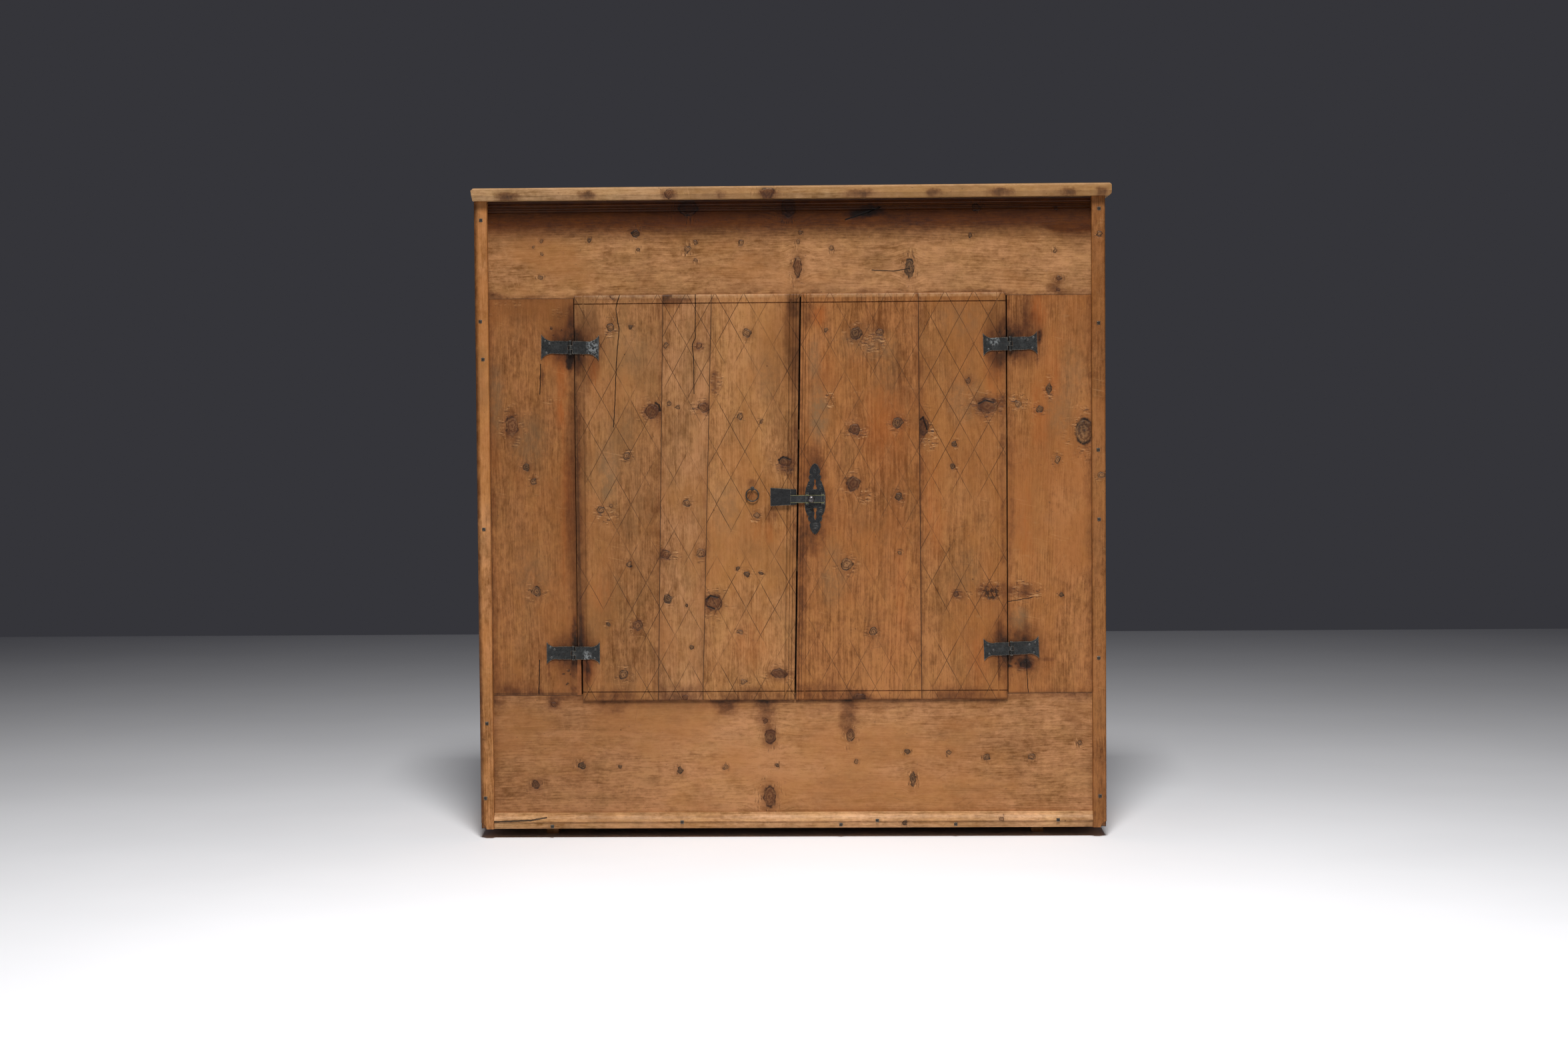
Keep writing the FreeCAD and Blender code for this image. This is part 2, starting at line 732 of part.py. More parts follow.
def leaning_strip(edge, way, inset, width):
    """Upright quirk that follows an edge, inset from it towards the board."""
    near_bottom = leaning(edge[0], edge[1], "door_bottom - overrun")
    near_top = leaning(edge[0], edge[1], "door_top + overrun")
    return (
        (f"{near_bottom} + {way} * ({inset})", "door_bottom - overrun"),
        (f"{near_bottom} + {way} * ({inset} + {width})", "door_bottom - overrun"),
        (f"{near_top} + {way} * ({inset} + {width})", "door_top + overrun"),
        (f"{near_top} + {way} * ({inset})", "door_top + overrun"),
    )


def door_board(label, left, right):
    body = new_body(label)
    face = [
        (left[1], "door_bottom"),
        (right[1], "door_bottom"),
        (right[0], "door_top"),
        (left[0], "door_top"),
    ]
    if label == NOTCHED_BOARD:
        notch_corner = ("-left_notch_edge", "left_notch_top")
        face[:1] = [(left[1], "left_notch_top"), notch_corner, ("-left_notch_edge", "door_bottom")]
    pad(body, "XZ", [face], "-door_proud", "door_thickness")
    left_most = f"{left[1]} - door_thickness"
    right_most = f"{right[0]} + door_thickness"
    laps = (
        box_outline(left_most, "frieze_bottom - door_clearance", right_most, "door_top + overrun"),
        box_outline(left_most, "door_bottom - overrun", right_most, "base_top + door_clearance"),
    )
    wide_laps = [widened(lap, left, right) for lap in laps]
    cut(body, "XZ", wide_laps, "0", "door_back + overrun")
    upper = "door_top - bead_width"
    lower = "door_bottom + bead_width"
    quirks = (
        box_outline(left_most, upper + " - quirk_width", right_most, upper),
        box_outline(left_most, lower, right_most, lower + " + quirk_width"),
    )
    wide_quirks = [widened(quirk, left, right) for quirk in quirks]
    cut(body, "XZ", wide_quirks, "-door_proud - overrun", "overrun + quirk_depth")
    if label in BEADED_LEFT:
        cut(body, "XZ", [leaning_strip(left, "1", "bead_width", "quirk_width")], "-door_proud - overrun",
            "overrun + quirk_depth")
    if label in BEADED_RIGHT:
        cut(body, "XZ", [leaning_strip(right, "-1", "bead_width", "quirk_width")], "-door_proud - overrun",
            "overrun + quirk_depth")
    round_bead_ends(body, left, right)


def widened(outline, left, right):
    """Stretch a cut's outline past both leaning edges of a board."""
    low = outline[0][1]
    high = outline[2][1]
    far_left = f"{left[0]} + {left[1]} - ({right[0]})"
    far_right = f"{right[0]} + {right[1]} - ({left[0]})"
    return ((far_left, low), (far_right, low), (far_right, high), (far_left, high))


def round_bead_ends(body, left, right):
    """Round the upper and lower front edges of a door board."""
    front = "-door_proud"
    upper = (
        (f"{front} - overrun", "door_top - bead_round"),
        (front, "door_top - bead_round", "-0.2"),
        (f"{front} + bead_round", "door_top"),
        (f"{front} + bead_round", "door_top + overrun"),
        (f"{front} - overrun", "door_top + overrun"),
    )
    lower = (
        (f"{front} - overrun", "door_bottom - overrun"),
        (f"{front} + bead_round", "door_bottom - overrun"),
        (f"{front} + bead_round", "door_bottom", "-0.2"),
        (front, "door_bottom + bead_round"),
        (f"{front} - overrun", "door_bottom + bead_round"),
    )
    start = f"{left[0]} + {left[1]} - ({right[0]})"
    cut(body, "YZ", [upper, lower], start, f"2 * (({right[0]}) - ({left[0]})) + ({right[1]}) - ({left[1]})")


def make_ledge(label, left, right, middle):
    """Batten behind a door's boards, with chamfered rear edges."""
    body = new_body(label)
    low = f"{middle} - ledge_height / 2"
    high = f"{middle} + ledge_height / 2"
    section = (
        ("door_back", low),
        ("ledge_back - ledge_chamfer", low),
        ("ledge_back", f"{low} + ledge_chamfer"),
        ("ledge_back", f"{high} - ledge_chamfer"),
        ("ledge_back - ledge_chamfer", high),
        ("door_back", high),
    )
    pad(body, "YZ", [section], left, f"{right} - ({left})")


DOOR_SPANS = {
    "left": ("-left_door_outer + ledge_inset", "meeting_line_bottom - ledge_inset"),
    "right": ("meeting_line_top + ledge_inset", "right_door_outer_top - ledge_inset"),
}


def make_doors():
    for label, (left, right) in DOOR_BOARDS.items():
        door_board(label, left, right)
    for side, (left, right) in DOOR_SPANS.items():
        make_ledge(f"{side}_door_upper_ledge", left, right, "ledge_top_middle")
        make_ledge(f"{side}_door_lower_ledge", left, right, "ledge_bottom_middle")


# Butterfly hinges: two flared leaves folded round one loose pin
HINGES = ("left_upper", "left_lower", "right_upper", "right_lower")


def pin_place(hinge):
    return "-left_pin_place" if hinge.startswith("left") else "right_pin_place"


def make_leaf(hinge, leaf, way, front, knuckles):
    """One leaf: flared plate, tongues to its knuckles, the knuckles and their bore."""
    body = new_body(f"{hinge}_hinge_{leaf}_leaf")
    across = pin_place(hinge)
    middle = f"{hinge}_hinge_height"
    reach = f"{way} * {hinge}_hinge_reach"
    tip = f"{hinge}_hinge_tips / 2"
    flare = f"{way} * (leaf_start + hinge_straight)"
    bulge = f"{way} * -hinge_flare_bulge_share"
    wing = (
        (f"{way} * leaf_start", "-hinge_half_waist"),
        (flare, "-hinge_half_waist", bulge),
        (reach, f"-{tip}"),
        (reach, tip, bulge),
        (flare, "hinge_half_waist"),
        (f"{way} * leaf_start", "hinge_half_waist"),
    )
    pad(body, "XZ", [wing], front, "hinge_thickness", (across, middle), f"{hinge}_hinge_turn")
    for low, high in knuckles:
        near = f"{across} + {way} * pin_radius"
        far = f"{across} + {way} * (leaf_start + pin_radius)"
        tongue = box_outline(near, front, far, f"{front} + hinge_thickness")
        length = f"{high} - ({low})"
        pad(body, "XY", [tongue], f"{middle} + {low}", length)
        barrel = corners(across, "-pin_depth", "knuckle_radius", KNUCKLE_SHARES)
        pad(body, "XY", [barrel], f"{middle} + {low}", length)
    bore = circle_outline(across, "-pin_depth", "pin_radius + pin_clearance")
    cut(body, "XY", [bore], f"{middle} - hinge_half_waist - overrun", "hinge_waist + 2 * overrun")


def make_pin(hinge):
    """Round pin with a square forged head at each end."""
    body = new_body(f"{hinge}_hinge_pin")
    across = pin_place(hinge)
    low = f"{hinge}_hinge_height - hinge_half_waist - pin_clearance"
    high = f"{hinge}_hinge_height + hinge_half_waist + pin_clearance"
    head = box_outline(
        f"{across} - pin_head_width / 2",
        "-pin_depth - pin_head_width / 2",
        f"{across} + pin_head_width / 2",
        "-pin_depth + pin_head_width / 2",
    )
    pad(body, "XY", [circle_outline(across, "-pin_depth", "pin_radius")], low, f"{high} - ({low})")
    pad(body, "XY", [head], f"{low} - pin_head_height", "pin_head_height")
    pad(body, "XY", [head], high, "pin_head_height")


def make_hinges():
    edge = "hinge_half_waist"
    below = ("-" + edge, "-knuckle_third - knuckle_clearance / 2")
    above = ("knuckle_third + knuckle_clearance / 2", edge)
    outer = (below, above)
    inner = (("-knuckle_third + knuckle_clearance / 2", "knuckle_third - knuckle_clearance / 2"),)
    for hinge in HINGES:
        way = "-1" if hinge.startswith("left") else "1"
        other_way = "1" if hinge.startswith("left") else "-1"
        make_leaf(hinge, "frame", way, "-hinge_thickness", outer)
        make_leaf(hinge, "door", other_way, "-door_proud - hinge_thickness", inner)
        make_pin(hinge)


# Wrought nails: square shanks with low faceted heads, grouped by what they fasten
def make_nails(label, places, surface, head, length, from_behind=False):
    """Nails whose heads lie on the plane at surface, driven inwards from it."""
    heads = [box_outline(f"{x} - {head} / 2", f"{z} - {head} / 2", f"{x} + {head} / 2", f"{z} + {head} / 2")
             for x, z in places]
    shanks = [box_outline(f"{x} - nail_shank / 2", f"{z} - nail_shank / 2", f"{x} + nail_shank / 2",
                          f"{z} + nail_shank / 2") for x, z in places]
    body = new_body(label)
    pad(body, "XZ", shanks, surface, length, forwards=from_behind)
    pad(body, "XZ", heads, surface, "nail_head_height", taper="-40", forwards=not from_behind)


def strip_nail_places():
    places = []
    for way, shares in (("-1", LEFT_STRIP_NAIL_SHARES), ("1", RIGHT_STRIP_NAIL_SHARES)):
        for across, up in shares:
            x = f"{way} * (half_width - strip_width * {across})"
            places.append((x, f"foot_height + carcase_height * {up}"))
    return places


def wing_nail_places(hinges, on_door):
    places = []
    shares = DOOR_NAIL_SHARES if on_door else FRAME_NAIL_SHARES
    for hinge in hinges:
        left_side = hinge.startswith("left")
        way = "1" if left_side == on_door else "-1"
        for along, up in shares:
            x = f"{pin_place(hinge)} + {way} * {hinge}_hinge_reach * {along}"
            places.append((x, f"{hinge}_hinge_height + {hinge}_hinge_tips * {up}"))
    return places


def ledge_nail_places(side):
    left, right = DOOR_SPANS[side]
    places = []
    for middle in ("ledge_top_middle", "ledge_bottom_middle"):
        for along, up in LEDGE_NAIL_SHARES:
            x = f"{left} + ({right} - ({left})) * {along}"
            places.append((x, f"{middle} + ledge_height * ({up} - 0.5)"))
    return places


def back_nail_places():
    places = []
    for way in ("-1", "1"):
        for up in BACK_NAIL_SHARES:
            across = f"{way} * (half_width - side_thickness / 2)"
            places.append((across, f"foot_height + carcase_height * {up}"))
    return places


def make_all_nails():
    head, length = "strip_nail_head", "strip_nail_length"
    make_nails("corner_strip_nails", strip_nail_places(), "-strip_proud", head, length)
    moulding_places = []
    for across, up in MOULDING_NAIL_SHARES:
        x = f"carcase_width * ({across} - 0.5)"
        moulding_places.append((x, f"foot_height + moulding_height * {up}"))
    make_nails("base_moulding_nails", moulding_places, "-moulding_proud", head, length)
    sunk = "carcase_depth - nail_head_height"
    make_nails("back_board_nails", back_nail_places(), sunk, head, "back_nail_length", True)
    frame_front = "-hinge_thickness"
    door_front = "-door_proud - hinge_thickness"
    head = "hinge_nail_head"
    length = "hinge_nail_length"
    make_nails("hinge_frame_leaf_nails", wing_nail_places(HINGES, False), frame_front, head, length)
    make_nails("left_hinge_door_leaf_nails", wing_nail_places(HINGES[:2], True), door_front, head, length)
    make_nails("right_hinge_door_leaf_nails", wing_nail_places(HINGES[2:], True), door_front, head, length)
    for side in ("left", "right"):
        label = f"{side}_door_ledge_nails"
        make_nails(label, ledge_nail_places(side), "ledge_back", "ledge_nail_head", "ledge_nail_length", True)


# Sliding bolt: pierced plate, two guides, the bar and its knob
def plate_point(x_share, z_share):
    x = f"bolt_plate_place + bolt_plate_width / 2 * {x_share}"
    return (x, f"bolt_height + bolt_plate_height / 2 * {z_share}")


def make_bolt_plate():
    """Spindle outline mirrored from one quarter, pierced by two teardrop slots."""
    quarter = list(PLATE_QUARTER_SHARES)
    right_side = [(0, 1)] + quarter + [(x, -z) for x, z in reversed(quarter)] + [(0, -1)]
    left_side = [(-x, z) for x, z in reversed(right_side[1:-1])]
    outline = [plate_point(x, z) for x, z in right_side + left_side]
    body = new_body("bolt_plate")
    pad(body, "XZ", [outline], "-plate_front", "bolt_plate_thickness")
    slots = []
    for way in ("1", "-1"):
        near = f"bolt_height + {way} * bolt_slot_start"
        far = f"{near} + {way} * bolt_slot_length"
        slots.append((
            (f"bolt_plate_place - bolt_slot_width / 2", near, f"{way} * 0.2"),
            (f"bolt_plate_place + bolt_slot_width / 2", near, f"{way} * 0.08"),
            ("bolt_plate_place", far, f"{way} * 0.08"),
        ))
    cut(body, "XZ", slots, "-plate_front - overrun", "bolt_plate_thickness + 2 * overrun")


def make_guides():
    """Two straps that bridge the bar, each with two feet on the plate."""
    outer = "guide_half + guide_wall"
    foot = "guide_half + guide_wall + guide_foot"
    roof = "-guide_inside - guide_wall"
    foot_front = "-plate_front - guide_wall"
    section = (
        ("-plate_front", "bolt_height + guide_half"),
        ("-guide_inside", "bolt_height + guide_half"),
        ("-guide_inside", "bolt_height - guide_half"),
        ("-plate_front", "bolt_height - guide_half"),
        ("-plate_front", f"bolt_height - ({foot})"),
        (foot_front, f"bolt_height - ({foot})"),
        (foot_front, f"bolt_height - ({outer})"),
        (roof, f"bolt_height - ({outer})"),
        (roof, f"bolt_height + {outer}"),
        (foot_front, f"bolt_height + {outer}"),
        (foot_front, f"bolt_height + {foot}"),
        ("-plate_front", f"bolt_height + {foot}"),
    )
    body = new_body("bolt_guides")
    for side in ("left", "right"):
        pad(body, "YZ", [section], f"{side}_guide_place", "guide_width")


def make_bolt():
    """Bar with a blunt nose, and a forged knob turned on it."""
    body = new_body("bolt_bar")
    low = "bolt_height - bolt_bar_height / 2"
    high = "bolt_height + bolt_bar_height / 2"
    outline = (
        ("bolt_tip + bolt_nose", low),
        ("bolt_end", low),
        ("bolt_end", high),
        ("bolt_tip + bolt_nose", high),
        ("bolt_tip", f"{high} - bolt_nose"),
        ("bolt_tip", f"{low} + bolt_nose"),
    )
    pad(body, "XZ", [outline], "-bar_front", "bolt_bar_thickness")
    knob = new_body("bolt_knob")
    profile = [("0", "-bar_front"), ("0", "-knob_base - knob_height")]
    for across, out in KNOB_SHARES:
        profile.append((f"knob_radius * {across}", f"-knob_base - knob_height * {out}"))
    profile += [("knob_neck_radius", "-knob_base"), ("knob_neck_radius", "-bar_front")]
    revolve(knob, "XY", profile, "bolt_height", ("knob_place", "0"), "V_Axis")


def revolve(body, plane, outline, start, at, axis):
    """Turn an outline once round an axis of its own sketch."""
    sketch = draw(body, plane, [outline], start, at)
    turned = body.newObject("PartDesign::Revolution", body.Name + "_turned")
    turned.Profile = sketch
    turned.ReferenceAxis = (sketch, [axis])
    turned.Angle = 360


def make_keeper():
    """Tapering plate on the left door with a raised pocket for the bolt's tip."""
    body = new_body("bolt_keeper")
    middle = "bolt_height + keeper_rise"
    plate = (
        ("keeper_left", f"{middle} - keeper_left_height / 2"),
        ("keeper_right", f"{middle} - keeper_right_height / 2 - keeper_wall"),
        ("keeper_right", f"{middle} + keeper_right_height / 2"),
        ("keeper_left", f"{middle} + keeper_left_height / 2"),
    )
    pad(body, "XZ", [plate], "-plate_front", "bolt_plate_thickness")
    raised = (
        ("keeper_left", f"{middle} - keeper_left_height / 2"),
        ("keeper_mouth", f"{middle} - keeper_right_height / 2 - keeper_wall"),
        ("keeper_mouth", f"{middle} + keeper_right_height / 2"),
        ("keeper_left", f"{middle} + keeper_left_height / 2"),
    )
    roof = "guide_inside + keeper_wall"
    pad(body, "XZ", [raised], f"-({roof})", f"{roof} - plate_front")
    pocket = box_outline(
        "keeper_mouth - keeper_pocket_length",
        "bolt_height - guide_half",
        "keeper_mouth + overrun",
        "bolt_height + guide_half",
    )
    cut(body, "XZ", [pocket], "-guide_inside", "guide_inside - plate_front")


# Ring pull hanging in its eye, both bent from square wire set on edge
def make_ring():
    body = new_body("ring_pull")
    section = corners("ring_radius", "0", "ring_wire_radius", WIRE_SHARES)
    revolve(body, "XY", section, "ring_height", ("ring_place", "-eye_depth"), "V_Axis")


def make_eye():
    """Eye whose loop stands square to the door, with a stem driven into the board."""
    body = new_body("ring_eye")
    section = corners("0", "eye_radius", "eye_wire_radius", WIRE_SHARES)
    revolve(body, "XZ", section, "-eye_depth", ("ring_place", "eye_height"), "H_Axis")
    stem = corners("ring_place", "eye_height", "eye_wire_radius", WIRE_SHARES)
    pad(body, "XZ", [stem], "-eye_depth + eye_radius", "eye_stem_length")


def build():
    make_top()
    make_sides()
    make_frieze()
    make_base_board()
    make_stiles()
    make_filler()
    make_corner_strips()
    make_base_moulding()
    make_floors()
    make_back()
    make_runners()
    make_doors()
    make_hinges()
    make_all_nails()
    make_bolt_plate()
    make_guides()
    make_bolt()
    make_keeper()
    make_ring()
    make_eye()
    document.recompute()


def check():
    """Stop on a failed feature, an empty or faulty shape, or a cut that took nothing."""
    for item in document.Objects:
        if "Invalid" in item.State or "Error" in item.State:
            raise RuntimeError(f"{item.Label} failed: {item.State}")
    for feature in cuts:
        before = feature.BaseFeature.Shape.Volume
        if feature.Shape.Volume >= before:
            raise RuntimeError(f"{feature.Label} takes nothing away")
    for piece in pieces:
        if piece.Shape.isNull() or not piece.Shape.isValid():
            raise RuntimeError(f"{piece.Label} has no valid shape")


def write():
    os.makedirs("parts", exist_ok=True)
    for piece in pieces:
        piece.Shape.exportStep(f"parts/{piece.Label}.step")
    print(len(pieces), "pieces written")


build()
check()
write()
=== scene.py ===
import math
from functools import reduce

import bmesh
import bpy
from mathutils import Matrix, Vector


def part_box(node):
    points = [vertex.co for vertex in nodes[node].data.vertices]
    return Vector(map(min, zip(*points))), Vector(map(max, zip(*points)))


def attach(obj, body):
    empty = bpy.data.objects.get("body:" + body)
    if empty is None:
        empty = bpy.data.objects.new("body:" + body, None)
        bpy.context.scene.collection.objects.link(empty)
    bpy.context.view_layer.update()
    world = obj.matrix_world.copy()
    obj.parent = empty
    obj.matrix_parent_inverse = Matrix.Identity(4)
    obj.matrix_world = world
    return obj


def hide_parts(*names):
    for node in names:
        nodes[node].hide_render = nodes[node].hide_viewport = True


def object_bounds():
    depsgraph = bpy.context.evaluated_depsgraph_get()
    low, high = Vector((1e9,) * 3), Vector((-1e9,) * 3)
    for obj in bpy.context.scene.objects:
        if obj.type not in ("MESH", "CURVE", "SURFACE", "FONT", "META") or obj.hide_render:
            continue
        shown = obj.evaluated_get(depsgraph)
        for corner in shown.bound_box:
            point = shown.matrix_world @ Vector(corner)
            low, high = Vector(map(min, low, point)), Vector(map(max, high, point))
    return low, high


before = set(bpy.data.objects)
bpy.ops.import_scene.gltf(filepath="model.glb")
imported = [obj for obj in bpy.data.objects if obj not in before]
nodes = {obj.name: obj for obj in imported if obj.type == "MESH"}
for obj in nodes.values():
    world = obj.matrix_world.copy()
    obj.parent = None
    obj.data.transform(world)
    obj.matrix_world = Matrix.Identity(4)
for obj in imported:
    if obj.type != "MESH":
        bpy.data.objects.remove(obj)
cad_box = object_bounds()

# Fronts of the doors and of the boards round them
DOOR_FACE = -0.199
STILE_FACE = -0.193
# Size of one pixel of the photograph on the front, and the photograph's width
PIXEL = 0.001354
PHOTO_WIDTH = 2352
# The front's corners in the photograph and in the row frame
LEFT_TOP, LEFT_FOOT, RIGHT_TOP, RIGHT_FOOT = (707, 303), (724, 1244), (1656.5, 297), (1660.7, 1242.5)
FRONT_LEFT, FRONT_WIDTH, FRONT_TOP, FRONT_HEIGHT = -0.643, 1.277, 1.300, 1.280


def on_line(start, end, place, axis):
    """The other coordinate of a line through two photo points where one coordinate is place."""
    share = (place - start[axis]) / (end[axis] - start[axis])
    return start[1 - axis] + share * (end[1 - axis] - start[1 - axis])


def spot(px, py):
    """Place in the row frame, across and up, of a point of the photograph on the front."""
    left, right = on_line(LEFT_TOP, LEFT_FOOT, py, 1), on_line(RIGHT_TOP, RIGHT_FOOT, py, 1)
    top, bottom = on_line(LEFT_TOP, RIGHT_TOP, px, 0), on_line(LEFT_FOOT, RIGHT_FOOT, px, 0)
    return (FRONT_LEFT + (px - left) * FRONT_WIDTH / (right - left),
            FRONT_TOP - (py - top) * FRONT_HEIGHT / (bottom - top))


# Shader helpers
class Recipe:
    """Adds shader nodes to one node tree and links them."""

    def __init__(self, tree):
        self.tree = tree

    def add(self, kind, inputs, output=0, **settings):
        made = self.tree.nodes.new(kind)
        for key, value in settings.items():
            setattr(made, key, value)
        for key, value in inputs.items():
            self.feed(made.inputs[key], value)
        return made.outputs[output]

    def feed(self, socket, value):
        if isinstance(value, bpy.types.NodeSocket):
            self.tree.links.new(value, socket)
        else:
            socket.default_value = value

    def math(self, operation, a, b=0, c=0, clamp=False):
        return self.add("ShaderNodeMath", {0: a, 1: b, 2: c}, operation=operation, use_clamp=clamp)

    def plus(self, a, b):
        return self.math("ADD", a, b)

    def less(self, a, b):
        return self.math("SUBTRACT", a, b)

    def times(self, a, b):
        return self.math("MULTIPLY", a, b)

    def blend(self, a, b, c):
        """a times b plus c"""
        return self.math("MULTIPLY_ADD", a, b, c)

    def least(self, a, b):
        return self.math("MINIMUM", a, b)

    def most(self, a, b):
        return self.math("MAXIMUM", a, b)

    def vector(self, operation, a, b=(0, 0, 0)):
        output = "Value" if operation in ("LENGTH", "DOT_PRODUCT", "DISTANCE") else "Vector"
        return self.add("ShaderNodeVectorMath", {0: a, 1: b}, output, operation=operation)

    def join(self, x, y, z):
        return self.add("ShaderNodeCombineXYZ", {0: x, 1: y, 2: z})

    def split(self, place):
        return tuple(self.add("ShaderNodeSeparateXYZ", {0: place}).node.outputs)

    def noise(self, place, scale, detail=2, rough=0.5, bend=0, colour=False):
        inputs = {"Vector": place, "Scale": scale, "Detail": detail, "Roughness": rough, "Distortion": bend}
        return self.add("ShaderNodeTexNoise", inputs, "Color" if colour else 0)

    def slope(self, value, low, high, first=0, last=1, smooth=True):
        """Value mapped from low..high to first..last and held there."""
        kind = "SMOOTHSTEP" if smooth else "LINEAR"
        inputs = {"Value": value, "From Min": low, "From Max": high, "To Min": first, "To Max": last}
        return self.add("ShaderNodeMapRange", inputs, interpolation_type=kind, clamp=True)

    def mix(self, share, a, b, kind="MIX"):
        made = self.add("ShaderNodeMix", {0: share}, data_type="RGBA", blend_type=kind, clamp_factor=True).node
        for socket, value in zip((s for s in made.inputs if s.type == "RGBA"), (a, b)):
            self.feed(socket, value)
        return next(s for s in made.outputs if s.type == "RGBA")

    def sized(self, place, across, along, ra, rb):
        """Place measured from a middle in its own radii."""
        inputs = {"Vector": place, "Location": (-across / ra, -along / rb, 0), "Scale": (1 / ra, 1 / rb, 0)}
        return self.add("ShaderNodeMapping", inputs, vector_type="POINT")

    def bump(self, height, strength=1, distance=0.001):
        inputs = {"Height": height, "Strength": strength, "Distance": distance}
        return self.add("ShaderNodeBump", inputs, "Normal")


class Surface(Recipe):
    """The recipe of one material."""

    def __init__(self, name):
        self.material = bpy.data.materials.new(name)
        self.material.use_nodes = True
        super().__init__(self.material.node_tree)
        self.shader = next(n for n in self.tree.nodes if n.type == "BSDF_PRINCIPLED")
        self.place = self.add("ShaderNodeTexCoord", {}, "Object")

    def finish(self, colour, rough, normal=None, **constants):
        self.feed(self.shader.inputs["Base Color"], colour)
        self.feed(self.shader.inputs["Roughness"], rough)
        if normal is not None:
            self.feed(self.shader.inputs["Normal"], normal)
        for name, value in constants.items():
            self.shader.inputs[name.replace("_", " ")].default_value = value
        return self.material


def tint(red, green, blue):
    """Linear colour from screen values 0 to 255."""
    def linear(value):
        share = value / 255
        return share / 12.92 if share <= 0.04045 else ((share + 0.055) / 1.055) ** 2.4
    return (linear(red), linear(green), linear(blue), 1)


# Old waxed pine, one node group that every board's material uses
GROUP_INPUTS = {
    "across": 0, "along": 0, "depth": 0, "aside": 0, "nearest": 99, "stain": 0, "border": 1,
    "line": 99, "eaten": 0, "torn": 0, "reed": 0, "lattice": 0, "seed": 0, "faded": 0,
    "reddened": 0, "shade": 0, "heart_place": 0, "heart_depth": 0.05, "heart_tilt": 0.02,
    "ring_rate": 240, "ring_share": 0.3, "grey": 0.25, "dirt": 0.35, "seam": 0.75, "worn": 0,
    "roughness": 0.5,
}
GROUP_COLOURS = ("light", "mid", "dark")
# The scratched lozenges: slant of their sides, width of one and a photo point where two lines cross
LATTICE_ANGLE = math.radians(61.5)
LATTICE_STEP = 43 * PIXEL
LATTICE_CROSSING = spot(1076.8, 834)


